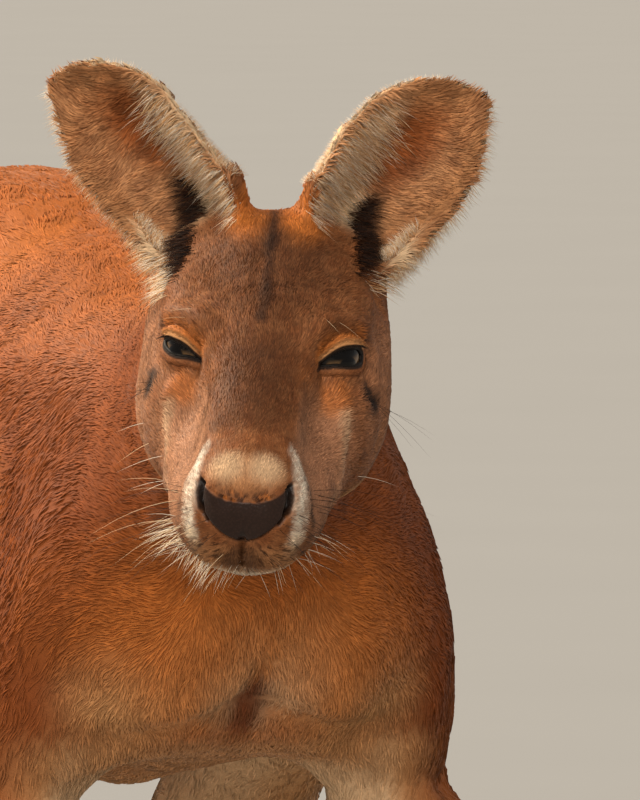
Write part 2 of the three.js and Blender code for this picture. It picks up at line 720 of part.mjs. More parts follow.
function addArms() {
  const group = addGroup("arms");
  const shoulder = solid(skin(BODY, centred(at(110, 730, 390)), [220, 260, 300], [30, 36, 36]));
  addPair(group, "upper_arm", shoulder.intersect(armSleeve(0)).subtract(ahead(ELBOW_CUT)), COAT);
  const lower = skin(ARM_AND_HAND, frameAlong(WRIST, ELBOW), [130, 150, 360], [20, 21, 40]);
  addPair(group, "forearm", without(solid(lower), behind(ELBOW_CUT), ahead(WRIST_CUT)), COAT);
  const palm = skin(ARM_AND_HAND, centred(at(104, 838, 40)), [150, 150, 100], [15.2, 15.4, 14]);
  addPair(group, "hand", without(solid(palm), behind(WRIST_CUT), ahead(FLOOR_CUT)), COAT);
  const cutters = [solid(swollen(palm, GAP)), ahead(FLOOR_CUT)];
  FINGERS.forEach(({ way, to }, i) => {
    const root = to.clone().addScaledVector(way, 2).setZ(7.5);
    const horn = clawHorn(FINGER_CLAW, 4.2, 6);
    const body = without(solidOf(horn, facing(root, way)), ...cutters);
    addPair(group, `claw_finger_${i + 1}`, body, CLAW_HORN);
  });
}

function addHead() {
  const group = addGroup("head_and_ears");
  const frame = HEAD.clone().multiply(centred(at(0, 6, -32)));
  const face = skin(BODY_AND_HEAD, frame, [164, 262, 196], [15, 17.4, 15.2]);
  const ball = (side, radius) => {
    const place = HEAD.clone().multiply(centred(side > 0 ? EYE : across(EYE)));
    return solidOf(new THREE.SphereGeometry(radius, 12, 8), place);
  };
  const sides = [1, -1];
  const sockets = sides.map((side) => ball(side, EYE_RADIUS + GAP));
  const openings = sides.map((side) => solidOf(lidOpening(side), HEAD));
  addNode(group, "head", without(solid(face), ahead(HEAD_CUT), ...sockets, ...openings), FACE);
  addNode(group, "eye_left", ball(1, EYE_RADIUS), EYE_GLOSS);
  addNode(group, "eye_right", ball(-1, EYE_RADIUS), EYE_GLOSS);
  const cutter = solid(swollen(face, GAP));
  Object.entries(EARS).forEach(([side, ear]) => {
    const cup = solid(earCup(ear)).transform(HEAD.elements);
    addNode(group, `ear_${side}`, cup.subtract(cutter), EAR_SKIN);
  });
}

addTrunk();
addTail();
addHindLegs();
addArms();
addHead();

// The origin is on the floor, under the middle of the whole animal's box.
const box = new THREE.Box3().setFromObject(kangaroo);
const middle = box.getCenter(new THREE.Vector3());
kangaroo.position.set(-middle.x, -middle.y, -box.min.z);

export default kangaroo;
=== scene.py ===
"""A life-size male red kangaroo at rest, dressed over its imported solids.

The solids give every place and size. One skin is drawn over all of the flesh, the face is shaped
on it in the head's own frame, and the coat is laid over it in tufts that lie the way a kangaroo's
hair grows. Lengths are metres, and millimetres where a name or a docstring says so.
"""

from __future__ import annotations

import logging
import math
from dataclasses import dataclass, field
from enum import Enum

import bmesh
import bpy
import numpy as np
from mathutils import Matrix, Vector
from mathutils.bvhtree import BVHTree

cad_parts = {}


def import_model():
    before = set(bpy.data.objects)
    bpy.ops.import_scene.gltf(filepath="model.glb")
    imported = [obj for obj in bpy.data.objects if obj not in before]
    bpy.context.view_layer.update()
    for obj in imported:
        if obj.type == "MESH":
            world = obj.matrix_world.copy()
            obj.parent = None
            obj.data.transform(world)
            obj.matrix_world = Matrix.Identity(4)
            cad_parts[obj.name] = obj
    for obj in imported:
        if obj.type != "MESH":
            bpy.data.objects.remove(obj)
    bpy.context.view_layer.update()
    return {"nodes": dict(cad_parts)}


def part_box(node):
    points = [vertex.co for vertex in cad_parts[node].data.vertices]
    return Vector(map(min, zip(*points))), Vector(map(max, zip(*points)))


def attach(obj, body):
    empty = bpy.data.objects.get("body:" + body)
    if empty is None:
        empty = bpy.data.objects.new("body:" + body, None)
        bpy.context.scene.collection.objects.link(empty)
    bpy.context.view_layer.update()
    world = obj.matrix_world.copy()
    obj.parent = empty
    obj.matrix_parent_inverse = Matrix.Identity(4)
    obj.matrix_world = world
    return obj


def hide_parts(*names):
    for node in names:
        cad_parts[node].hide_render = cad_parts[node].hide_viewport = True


Array = np.ndarray
Piece = bpy.types.Object
Mesh = bpy.types.Mesh

LOG = logging.getLogger("kangaroo")
MM = 0.001
BODY = "root"
PATCH_SIZE = 0.003  # of one hair, as a share of the OFBake map
SIDES = {"left": 1.0, "right": -1.0}


# ---- soft masks and noise


def fade(value: Array, start: float, end: float) -> Array:
    """A smooth step from 0 at start to 1 at end; start may be the larger of the two."""
    share = np.clip((value - start) / (end - start), 0.0, 1.0)
    return share * share * (3.0 - 2.0 * share)


def spot(points: Array, centre: tuple, reach: tuple, soft: float = 0.6) -> Array:
    """A soft-edged ellipsoid with these radii: 1 well inside it, and 0 outside."""
    away = np.linalg.norm((points - np.array(centre)) / np.array(reach), axis=1)
    return fade(away, 1.0 + soft / 2.0, 1.0 - soft / 2.0)


def distance_to(path: list, points: Array) -> Array:
    """How far each point is from a path of straight lengths through the corners given."""
    corners = np.array(path, float)
    nearest = np.full(len(points), np.inf)
    for start, end in zip(corners[:-1], corners[1:]):
        along = end - start
        share = np.clip((points - start) @ along / (along @ along), 0.0, 1.0)
        away = np.linalg.norm(points - start - share[:, None] * along, axis=1)
        nearest = np.minimum(nearest, away)
    return nearest


def stroke(points: Array, path: list, width: float, soft: float = 0.6) -> Array:
    """A soft-edged stroke of a brush along a path: 1 on it, and 0 beyond its half width."""
    away = distance_to(path, points)
    return fade(away, width / 2.0 * (1.0 + soft), width / 2.0 * (1.0 - soft))


def ridge(value: Array, middle: float, width: float) -> Array:
    """1 where a value is at the middle, falling smoothly away on both sides."""
    return np.exp(-(((value - middle) / width) ** 2))


def ripple(points: Array, wavelength: float, seed: int, waves: int = 14) -> Array:
    """Smooth noise from -1 to 1, made of waves that run in all directions.

    Args:
        points: The places to look at.
        wavelength: The typical distance from crest to crest.
        seed: Which noise it is.
        waves: How many waves are added up.

    Returns:
        One value for each point.
    """
    random = np.random.default_rng(seed)
    ways = random.normal(size=(waves, 3))
    ways /= np.linalg.norm(ways, axis=1)[:, None]
    pace = 2.0 * math.pi / (wavelength * random.uniform(0.6, 1.5, waves))
    phase = random.uniform(0.0, 2.0 * math.pi, waves)
    total = np.zeros(len(points))
    for way, quick, start in zip(ways, pace, phase):
        total += np.sin(points @ (way * quick) + start)
    return np.clip(total / math.sqrt(waves), -1.0, 1.0)


def on_left(places: Array) -> Array:
    """The same places, with those of the right side brought over to the left."""
    return np.abs(places) * [1, 0, 0] + places * [0, 1, 1]


def unit(vectors: Array) -> Array:
    """The same directions, one unit long."""
    return vectors / np.maximum(np.linalg.norm(vectors, axis=1), 1e-12)[:, None]


# ---- the animal's own frame


@dataclass(frozen=True)
class HeadFrame:
    """The head's own frame, in millimetres: to its left, ahead to the nose, and up.

    Its origin is near the midpoint of the eyes, and the turns are those of the head on the neck.
    """

    turn: float = math.radians(-21.0)
    drop: float = math.radians(20.0)
    roll: float = math.radians(3.8)
    eye_aside: float = 32.5
    eye_ahead: float = 4.0
    eye_up: float = 3.0

    def axes(self) -> Array:
        """The frame's three directions in the world, as rows."""
        turns = (
            Matrix.Rotation(self.turn, 3, "Z")
            @ Matrix.Rotation(self.drop, 3, "X")
            @ Matrix.Rotation(self.roll, 3, "Y")
        )
        left, behind, up = (np.array(turns.col[i]) for i in range(3))
        return np.array([left, -behind, up])

    def origin(self) -> Array:
        """The frame's origin in the world, worked out from the eyes' boxes."""
        corners = [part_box(f"eye_{side}") for side in SIDES]
        middle = np.mean([np.array(corner) for pair in corners for corner in pair], axis=0)
        _, ahead, up = self.axes()
        return middle - (ahead * self.eye_ahead + up * self.eye_up) * MM

    def local(self, points: Array) -> Array:
        """World points, in the head's own millimetres."""
        return (points - self.origin()) @ self.axes().T / MM

    def world(self, places: Array) -> Array:
        """Places in the head's own millimetres, in the world."""
        return self.origin() + np.asarray(places, float) @ self.axes() * MM

    def eye(self, side: float) -> Array:
        """The middle of an eyeball, in the head's own millimetres."""
        return np.array([side * self.eye_aside, self.eye_ahead, self.eye_up])


def place_in(node: str, across: float, along: float, up: float) -> tuple[float, float, float]:
    """A point of a node's box, as shares of its width, its length from the front, and its height."""
    low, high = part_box(node)
    share = Vector((across, along, up))
    return tuple(low[i] + (high[i] - low[i]) * share[i] for i in range(3))


@dataclass(frozen=True)
class Flesh:
    """What one kind of node is covered with, in millimetres.

    `softness` is how far its facets are rounded, `depth` is the coat's own depth on it, and
    `hair`, `width` and `lift` are the length and width of a tuft and how far its tip stands out
    as a share of its length.
    """

    softness: float
    depth: float
    hair: float
    width: float
    lift: float


FLESH = {
    "head": Flesh(0.16, 1.3, 4.8, 0.48, 0.07),
    "ear": Flesh(0.12, 0.5, 6.5, 0.5, 0.12),
    "neck": Flesh(0.7, 1.7, 9.0, 0.66, 0.045),
    "chest": Flesh(1.0, 1.7, 9.5, 0.7, 0.04),
    "abdomen": Flesh(1.0, 1.9, 11.5, 0.9, 0.036),
    "thigh": Flesh(0.9, 1.9, 11.0, 0.95, 0.04),
    "shank": Flesh(0.3, 1.7, 9.0, 0.9, 0.055),
    "foot": Flesh(0.03, 0.5, 6.0, 0.8, 0.06),
    "upper_arm": Flesh(0.6, 1.9, 9.5, 0.8, 0.055),
    "forearm": Flesh(0.25, 1.6, 8.0, 0.8, 0.06),
    "hand": Flesh(0.0, 0.1, 4.5, 0.6, 0.07),
    "tail": Flesh(0.35, 1.9, 10.5, 1.05, 0.055),
}


def kind_of(node: str) -> str:
    """The kind of flesh that a node is, such as thigh for thigh_left."""
    return node.rsplit("_", 1)[0] if node not in FLESH else node


def is_flesh(node: str) -> bool:
    """Whether a node is part of the skin, and not an eye or a claw."""
    return kind_of(node) in FLESH


class Regions:
    """Tells which node of flesh a point belongs to."""

    def __init__(self, nodes: dict) -> None:
        """Gathers the faces of all the nodes of flesh.

        Args:
            nodes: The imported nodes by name.
        """
        self.names = sorted(name for name in nodes if is_flesh(name))
        corners: list[Vector] = []
        faces: list[tuple[int, ...]] = []
        owners: list[int] = []
        for index, name in enumerate(self.names):
            mesh = nodes[name].data
            start = len(corners)
            corners.extend(vertex.co.copy() for vertex in mesh.vertices)
            faces.extend(tuple(start + v for v in face.vertices) for face in mesh.polygons)
            owners.extend([index] * len(mesh.polygons))
        self.tree = BVHTree.FromPolygons(corners, faces)
        self.owners = owners

    def find(self, points: Array) -> Array:
        """The number in `names` of the node nearest to each point."""
        nearest = self.tree.find_nearest
        return np.array([self.owners[nearest(point)[2]] for point in points.tolist()])

    def table(self, measure: str) -> Array:
        """One measure of FLESH for each name."""
        return np.array([getattr(FLESH[kind_of(name)], measure) for name in self.names])

    def masks(self, owners: Array, kinds: tuple) -> Array:
        """Which of the owners are of the kinds named."""
        chosen = [index for index, name in enumerate(self.names) if kind_of(name) in kinds]
        return np.isin(owners, chosen)


# ---- mesh helpers


def read(items: bpy.types.bpy_prop_collection, name: str, width: int, kind: type = float) -> Array:
    """Reads one property of many parts of a mesh.

    Args:
        items: The vertices, edges, faces or values.
        name: The property's name.
        width: How many numbers it holds.
        kind: The type of the numbers that are wanted.

    Returns:
        A row of numbers for each.
    """
    values = np.empty(len(items) * width, np.int32 if kind is int else np.float32)
    items.foreach_get(name, values)
    return values.reshape(-1, width).astype(np.int32 if kind is int else float)


def points_of(mesh: Mesh) -> Array:
    """A mesh's vertices as rows."""
    return read(mesh.vertices, "co", 3)


def normals_of(mesh: Mesh) -> Array:
    """A mesh's vertex normals as rows."""
    return read(mesh.vertex_normals, "vector", 3)


def set_points(mesh: Mesh, points: Array) -> None:
    """Moves a mesh's vertices."""
    mesh.vertices.foreach_set("co", points.astype(np.float32).ravel())
    mesh.update()


def triangles_of(mesh: Mesh) -> tuple[Array, Array]:
    """A mesh's triangles: their vertices, and the loops at their corners."""
    mesh.calc_loop_triangles()
    return read(mesh.loop_triangles, "vertices", 3, int), read(mesh.loop_triangles, "loops", 3, int)


def select_only(*pieces: Piece) -> None:
    """Selects these pieces and no others, and makes the first one active."""
    bpy.ops.object.select_all(action="DESELECT")
    for piece in pieces:
        piece.select_set(True)
    bpy.context.view_layer.objects.active = pieces[0]


def apply_modifier(piece: Piece, kind: str, **settings: object) -> None:
    """Adds a modifier to a piece and applies it.

    Args:
        piece: The piece that changes.
        kind: The modifier's type.
        **settings: The modifier's values by name.
    """
    select_only(piece)
    modifier = piece.modifiers.new(kind.lower(), kind)
    for name, value in settings.items():
        setattr(modifier, name, value)
    bpy.ops.object.modifier_apply(modifier=modifier.name)


def smooth(piece: Piece) -> None:
    """Shades a piece smooth."""
    select_only(piece)
    bpy.ops.object.shade_smooth()


def apply_place(piece: Piece) -> None:
    """Puts a piece's place, turn and size into its mesh."""
    select_only(piece)
    bpy.ops.object.transform_apply(location=True, rotation=True, scale=True)


def merged_copy(node: Piece, name: str) -> Piece:
    """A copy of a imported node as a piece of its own, with its loose triangles merged."""
    piece = bpy.data.objects.new(name, node.data.copy())
    bpy.context.scene.collection.objects.link(piece)
    piece.data.materials.clear()
    work = bmesh.new()
    work.from_mesh(piece.data)
    bmesh.ops.remove_doubles(work, verts=work.verts, dist=1e-5)
    work.to_mesh(piece.data)
    work.free()
    return piece


def piece_from_arrays(name: str, points: Array, faces: Array) -> Piece:
    """A piece of triangles.

    Args:
        name: The piece's name.
        points: Its vertices as rows.
        faces: Its triangles as rows of vertex numbers.

    Returns:
        The new piece, linked to the scene.
    """
    mesh = bpy.data.meshes.new(name)
    mesh.vertices.add(len(points))
    mesh.vertices.foreach_set("co", points.astype(np.float32).ravel())
    mesh.loops.add(faces.size)
    mesh.loops.foreach_set("vertex_index", faces.astype(np.int32).ravel())
    mesh.polygons.add(len(faces))
    mesh.polygons.foreach_set("loop_start", np.arange(0, faces.size, 3, dtype=np.int32))
    mesh.update(calc_edges=True)
    piece = bpy.data.objects.new(name, mesh)
    bpy.context.scene.collection.objects.link(piece)
    return piece


def add_values(mesh: Mesh, name: str, values: Array) -> None:
    """Stores a number or a colour for each vertex as an attribute."""
    if values.ndim == 1:
        attribute = mesh.attributes.new(name, "FLOAT", "POINT")
        attribute.data.foreach_set("value", values.astype(np.float32))
        return
    attribute = mesh.attributes.new(name, "FLOAT_COLOR", "POINT")
    opaque = np.column_stack([values, np.ones(len(values))])
    attribute.data.foreach_set("color", opaque.astype(np.float32).ravel())


def joined_hairs(
    name: str, corners: Array, faces: list, shades: Array, along: Array, patch: Array, places: Array
) -> Piece:
    """Makes many hairs of one form one mesh.

    Args:
        name: The piece's name.
        corners: The vertices of each hair.
        faces: The triangles of one hair.
        shades: The colour of each hair.
        along: How far along its hair each vertex is, from 0 to 1.
        patch: Where each vertex is on its hair's small patch of the OFBake map.
        places: Each root's place on the skin's unwrap, which is the middle of its patch.

    Returns:
        The new piece, with its colours and its OFBake map.
    """
    count, each = corners.shape[:2]
    faces = (np.arange(count)[:, None, None] * each + np.array(faces)).reshape(-1, 3)
    piece = piece_from_arrays(name, corners.reshape(-1, 3), faces)
    add_values(piece.data, "marking", np.repeat(shades, each, axis=0))
    add_values(piece.data, "along", np.tile(along, count))
    middles = np.clip(places, PATCH_SIZE, 1.0 - PATCH_SIZE)
    spread = (middles[:, None, :] + patch * PATCH_SIZE).reshape(-1, 2)
    layer = piece.data.uv_layers.new(name="OFBake")
    layer.data.foreach_set("uv", spread[faces.ravel()].astype(np.float32).ravel())
    return piece


class Web:
    """The edges of a mesh, along which values of its vertices are evened out."""

    def __init__(self, mesh: Mesh) -> None:
        """Reads the edges of a mesh."""
        one, other = read(mesh.edges, "vertices", 2, int).T
        self.count = len(mesh.vertices)
        self.start = np.concatenate([one, other])
        self.end = np.concatenate([other, one])
        self.links = np.maximum(np.bincount(self.start, minlength=self.count), 1)

    def even(self, values: Array, rounds: int, share: Array | float) -> Array:
        """Moves each vertex's value towards the mean of its neighbours.

        Args:
            values: One value or one row for each vertex.
            rounds: How many times it is done.
            share: How far the value moves each time, for all or for each vertex.

        Returns:
            The evened values.
        """
        rows = values.reshape(self.count, -1).copy()
        step = np.broadcast_to(np.asarray(share, float), self.count)
        for _ in range(rounds):
            for column in range(rows.shape[1]):
                near = np.bincount(self.start, rows[self.end, column], self.count) / self.links
                rows[:, column] += (near - rows[:, column]) * step
        return rows.reshape(values.shape)


# ---- the face


MIRROR = np.array([-1.0, 1.0, 1.0])
FACE_ON = np.array([1.0, 0.3, 1.0])  # looks at the face from ahead, with little heed to depth
SIDE_ON = np.array([0.35, 1.0, 1.0])  # looks at the cheek from the side
NOSTRIL = [(21.8, 112, -22.5), (22.6, 113, -27.5), (21.2, 115, -33), (17.5, 118, -38)]
PHILTRUM = [(0, 124, -40), (0, 122, -52), (0, 114, -66)]
MOUTH = [(0, 116, -67), (13, 112, -66), (22, 102, -63), (28, 86, -59), (32, 70, -56), (34, 56, -53)]
TEAR_LINE = [(14.5, 20, 2), (16, 30, -5), (20, 38, -12)]
CHEEK_CREST = [(36, 24, -8), (43, 28, -15), (41, 38, -28), (40, 46, -41), (38, 52, -50)]
MUZZLE_EDGE = [(19, 40, 7), (20.5, 58, 0), (20.5, 74, -7), (18, 88, -9)]
BROW = [(21, 27, 19), (30, 21, 25), (41, 9, 23), (50, -5, 16)]
LIP_EDGE = [(21, 90, -11), (25.5, 94, -17), (27, 103, -28), (27, 109, -40), (25.5, 111, -49), (21, 112, -58)]
LIP_SHADOW = [(27, 90, -14), (30, 97, -27), (31.5, 101, -40), (30.5, 102, -50), (27, 105, -60)]


@dataclass(frozen=True)
class Lids:
    """The two edges of an eye's slit, as degrees along it from the inner corner, and degrees up."""

    upper: tuple
    lower: tuple


LIDS = {
    1.0: Lids(
        ((-56, 5), (-47, 15), (-34, 25), (-19, 32), (1, 34), (20, 30), (43, 18), (52, 5)),
        ((-56, 5), (-40, 7), (-23, 8), (-8, 5), (8, 1), (27, -3), (44, -3), (52, 5)),
    ),
    -1.0: Lids(
        ((-54, 3), (-46, 8), (-38, 14), (-28, 21), (-14, 26), (5, 27), (30, 22), (50, 8)),
        ((-54, 3), (-42, 5), (-30, 7), (-12, 5), (5, 4), (20, 5), (40, 6), (50, 9)),
    ),
}


def curve(value: Array, knots: tuple) -> Array:
    """A smooth curve through knots.

    Args:
        value: Where along the curve.
        knots: Pairs of a place along it and its height there, in order.

    Returns:
        The heights of the curve.
    """
    places, heights = np.array(knots, float).T
    slopes = np.gradient(heights, places)
    index = np.clip(np.searchsorted(places, value) - 1, 0, len(places) - 2)
    span = places[index + 1] - places[index]
    t = np.clip((value - places[index]) / span, 0.0, 1.0)
    rise = t * t * (3.0 - 2.0 * t)
    lean_out = t * (1.0 - t) ** 2 * span * slopes[index]
    lean_in = -t * t * (1.0 - t) * span * slopes[index + 1]
    return heights[index] * (1.0 - rise) + heights[index + 1] * rise + lean_out + lean_in


@dataclass(frozen=True)
class EyePlace:
    """The eyeball and its lids, in millimetres and degrees about the eyeball's middle."""

    head: HeadFrame
    side: float
    ball: float = 16.5
    lid: float = 1.7
    outwards: float = math.radians(42.0)

    def ways(self) -> Array:
        """Outwards along the slit, straight out of the eye, and up, in the head's own frame."""
        sine, cosine = math.sin(self.outwards), math.cos(self.outwards)
        return np.array([[self.side * cosine, -sine, 0.0], [self.side * sine, cosine, 0.0], [0, 0, 1]])

    def angles(self, local: Array) -> tuple[Array, Array, Array]:
        """Degrees along the slit, degrees up, and the distance from the eyeball's middle."""
        aside, out, up = ((local - self.head.eye(self.side)) @ self.ways().T).T
        away = np.sqrt(aside**2 + out**2 + up**2)
        return np.degrees(np.arctan2(aside, out)), np.degrees(np.arcsin(up / away)), away

    def place(self, along: Array, up: Array, away: Array) -> Array:
        """The head's own millimetres at these angles and distances."""
        along, up = np.radians(along), np.radians(up)
        parts = [np.sin(along) * np.cos(up), np.cos(along) * np.cos(up), np.sin(up)]
        return self.head.eye(self.side) + (np.column_stack(parts) * away[:, None]) @ self.ways()

    def opening(self, along: Array, up: Array) -> Array:
        """How far inside the open slit a place is, in millimetres; less than 0 on the lids."""
        lids = LIDS[self.side]
        inner, outer = lids.upper[0][0], lids.upper[-1][0]
        held = np.clip(along, inner, outer)
        within = np.minimum(curve(held, lids.upper) - up, up - curve(held, lids.lower))
        past = np.abs(along - held)
        inside = np.where(past > 0, -np.hypot(past, np.minimum(within, 0)), within)
        return inside * math.radians(1.0) * self.ball

    def margin(self, count: int) -> Array:
        """Angles round the slit's edge, from the inner corner over the top and back below."""
        lids = LIDS[self.side]
        inner, outer = lids.upper[0][0], lids.upper[-1][0]
        sweep = (1.0 - np.cos(np.linspace(0.0, math.pi, count // 2 + 1))) / 2.0
        along = inner + (outer - inner) * sweep
        top = np.column_stack([along, curve(along, lids.upper)])
        below = np.column_stack([along, curve(along, lids.lower)])[::-1]
        return np.vstack([top[:-1], below[:-1]])


@dataclass(frozen=True)
class Breast:
    """The two lobes of the breast and the keel between them, in world metres on the left side."""

    keel: Array = field(default_factory=lambda: np.array(place_in("chest", 0.5, 0.085, 0.23)))

    def groove(self) -> list:
        """The shallow groove between the lobes, down to the keel."""
        return [self.keel + [0, -0.01, 0.07], self.keel + [0, -0.005, 0.03], self.keel]

    def lower_edge(self) -> list:
        """The fold under each lobe, from the keel to the armpit."""
        stops = [0.008, 0.0, -0.006], [0.045, 0.01, -0.022], [0.09, 0.03, -0.045]
        return [self.keel + stop for stop in stops]


def seen(path: list, view: Array) -> list:
    """A path as it is seen from ahead or from the side."""
    return [np.array(corner) * view for corner in path]


@dataclass(frozen=True)
class Face:
    """Shapes the lids, nose, mouth and folds of the face, in the head's own millimetres."""

    head: HeadFrame
    pad_half: float = 23.0

    def pad_foot(self, aside: Array) -> Array:
        """How high the lower edge of the nose pad is at each place across it."""
        return -48.5 + 0.3 * np.abs(aside) + 0.021 * aside**2

    def nose_pad(self, local: Array) -> Array:
        """How far a place is on the bare pad of the nose: 1 on it, and 0 off it."""
        aside, ahead, above = np.abs(local[:, 0]), local[:, 1], local[:, 2]
        top = -26.5 + 7.0 * np.clip(aside / self.pad_half, 0.0, 1.2) ** 2.2
        edges = [top - above, above - self.pad_foot(aside), self.pad_half - aside]
        return fade(np.minimum.reduce(edges), -0.7, 0.7) * fade(ahead, 98.0, 104.0)

    def bare(self, local: Array) -> Array:
        """Where the nose has no hair: its pad and the nostrils."""
        nostril = stroke(on_left(local) * FACE_ON, seen(NOSTRIL, FACE_ON), 4.4, 0.4)
        return np.maximum(self.nose_pad(local), nostril * fade(local[:, 1], 92.0, 100.0))

    def carve(self, local: Array) -> Array:
        """How far the skin stands out from the plain head at each place, in millimetres."""
        both = on_left(local)
        x, y, z = both.T
        front, side = both * FACE_ON, both * SIDE_ON
        ahead = fade(y, 40.0, 70.0)
        # The nose pad, with its foot drawn in and a groove down its middle.
        pad = self.nose_pad(local)
        rim = ridge(z, self.pad_foot(x), 1.1)
        height = -1.2 * rim * fade(x, 23.5, 20.0) * fade(y, 98.0, 104.0)
        height += 1.0 * pad + 1.5 * pad * fade(x, 1.0, 9.0) * fade(x, 21.0, 11.0)
        height -= 0.8 * pad * stroke(front, [(0, 0, -47), (0, 0, -34)], 2.2, 1.0)
        # The nostrils, their slits and their wings.
        height -= 5.0 * ahead * stroke(front, seen(NOSTRIL[:3], FACE_ON), 3.8, 0.7)
        height -= 2.4 * ahead * stroke(front, seen(NOSTRIL[2:], FACE_ON), 2.4, 0.8)
        height += 1.1 * ahead * spot(both, (15.5, 115, -24), (4.5, 9, 5), 1.0)
        # The parted lip, the mouth and the front of the lips.
        parting = stroke(front, seen(PHILTRUM, FACE_ON), 3.0, 0.9) * fade(z, -42.0, -48.0)
        height -= 2.2 * ahead * parting
        height -= 2.6 * fade(y, 44.0, 60.0) * stroke(side, seen(MOUTH, SIDE_ON), 3.4, 0.8)
        height += 1.9 * ahead * spot(both, (12, 113, -57), (12, 15, 9), 1.2)
        # The tip of the muzzle, the dip behind it and the full side of the lip.
        height += 1.2 * spot(both, (0, 106, -14), (17, 15, 10), 1.0)
        height -= 1.1 * stroke(both, [(0, 86, 0), (12, 86, -3), (20, 84, -8)], 10.0, 1.0)
        height += 3.2 * spot(both, (36, 66, -54), (14, 34, 15), 1.3)
        # The muzzle's edge and its hollow side, the cheek, the tear line, the brow and its furrow.
        for rise, path, width, soft in (
            (1.2, MUZZLE_EDGE, 9.0, 1.0),
            (-2.4, [(30, 40, -13), (30, 62, -21), (28, 80, -27)], 19.0, 1.1),
            (1.7, CHEEK_CREST, 9.0, 1.0),
            (-1.0, TEAR_LINE, 4.0, 0.9),
            (2.4, BROW, 10.0, 1.0),
            (-1.0, [(3, 20, 31), (5, 0, 38), (4, -30, 50)], 5.0, 1.0),
        ):
            height += rise * stroke(both, path, width, soft)
        # The temple, the muscle of the jaw and the crease in front of it.
        height -= 1.8 * spot(both, (54, -30, 12), (10, 20, 14), 1.2)
        height += 1.6 * spot(both, (57, -22, -36), (14, 26, 20), 1.2)
        height -= 1.2 * stroke(both, [(57, 10, -16), (60, -2, -30), (58, 6, -44)], 8.0, 1.0)
        return height

    def lids(self, local: Array, side: float) -> Array:
        """Draws one eye's lids over the eyeball and opens the slit between them.

        Args:
            local: Places on the head's skin.
            side: 1 for the left eye, and -1 for the right.

        Returns:
            The same places, moved where they are near that eye.
        """
        eye = EyePlace(self.head, side)
        along, up, away = eye.angles(local)
        open_mm = eye.opening(along, up)
        facing = fade(np.hypot(along, up), 84.0, 66.0) * fade(away, 34.0, 28.0)
        above = fade(up, 2.0, 14.0)
        crease = (1.7 * ridge(open_mm, -6.6, 1.2) + 0.7 * ridge(open_mm, -2.8, 0.7)) * above
        fold = (1.1 * ridge(open_mm, -4.6, 1.2) + 0.6 * ridge(open_mm, -8.0, 1.3)) * (1.0 - above)
        puff = ridge(open_mm, -4.2, 2.0)
        lid = eye.ball + eye.lid + 1.4 * fade(-open_mm, 0.0, 6.0) + puff - crease - fold
        near = fade(-open_mm, 11.0, 4.0) * facing
        target = away + (np.minimum(lid, away + 12.0) - away) * near
        within = (open_mm > 0.0) & (facing > 0.3)
        target[within] = (eye.ball - 2.5 * fade(open_mm, 0.0, 1.6))[within]
        moved = eye.place(along, up, target)
        changed = (near > 0.0) | within
        return np.where(changed[:, None], moved, local)

    def shape(self, local: Array, normals: Array) -> Array:
        """Shapes the whole face.

        Args:
            local: Places on the head's skin.
            normals: The skin's directions there, in the same frame.

        Returns:
            The shaped places.
        """
        shaped = local + normals * self.carve(local)[:, None]
        for side in SIDES.values():
            shaped = self.lids(shaped, side)
        return shaped


# ---- the coat's colours


@dataclass(frozen=True)
class Pigments:
    """The colours of a red kangaroo's coat, as linear red, green and blue."""

    rust: tuple = (0.30, 0.075, 0.013)
    deep_rust: tuple = (0.15, 0.031, 0.005)
    orange: tuple = (0.56, 0.165, 0.028)
    brown: tuple = (0.225, 0.073, 0.022)
    umber: tuple = (0.055, 0.018, 0.006)
    grey_brown: tuple = (0.44, 0.205, 0.105)
    tan: tuple = (0.50, 0.225, 0.090)
    buff: tuple = (0.68, 0.36, 0.15)
    cream: tuple = (0.84, 0.60, 0.36)
    white: tuple = (0.90, 0.78, 0.62)
    black: tuple = (0.014, 0.009, 0.007)
    pad: tuple = (0.026, 0.012, 0.008)


class Canvas:
    """Colours that are laid over one another with soft masks."""

    def __init__(self, count: int, base: tuple) -> None:
        """Starts with one colour at all of its places."""
        self.colours = np.tile(np.array(base, float), (count, 1))

    def wash(self, colour: tuple | Array, mask: Array, strength: float = 1.0) -> None:
        """Lays a colour, or one for each place, over the others where the mask is."""
        share = np.clip(mask * strength, 0.0, 1.0)[:, None]
        self.colours += (np.array(colour) - self.colours) * share


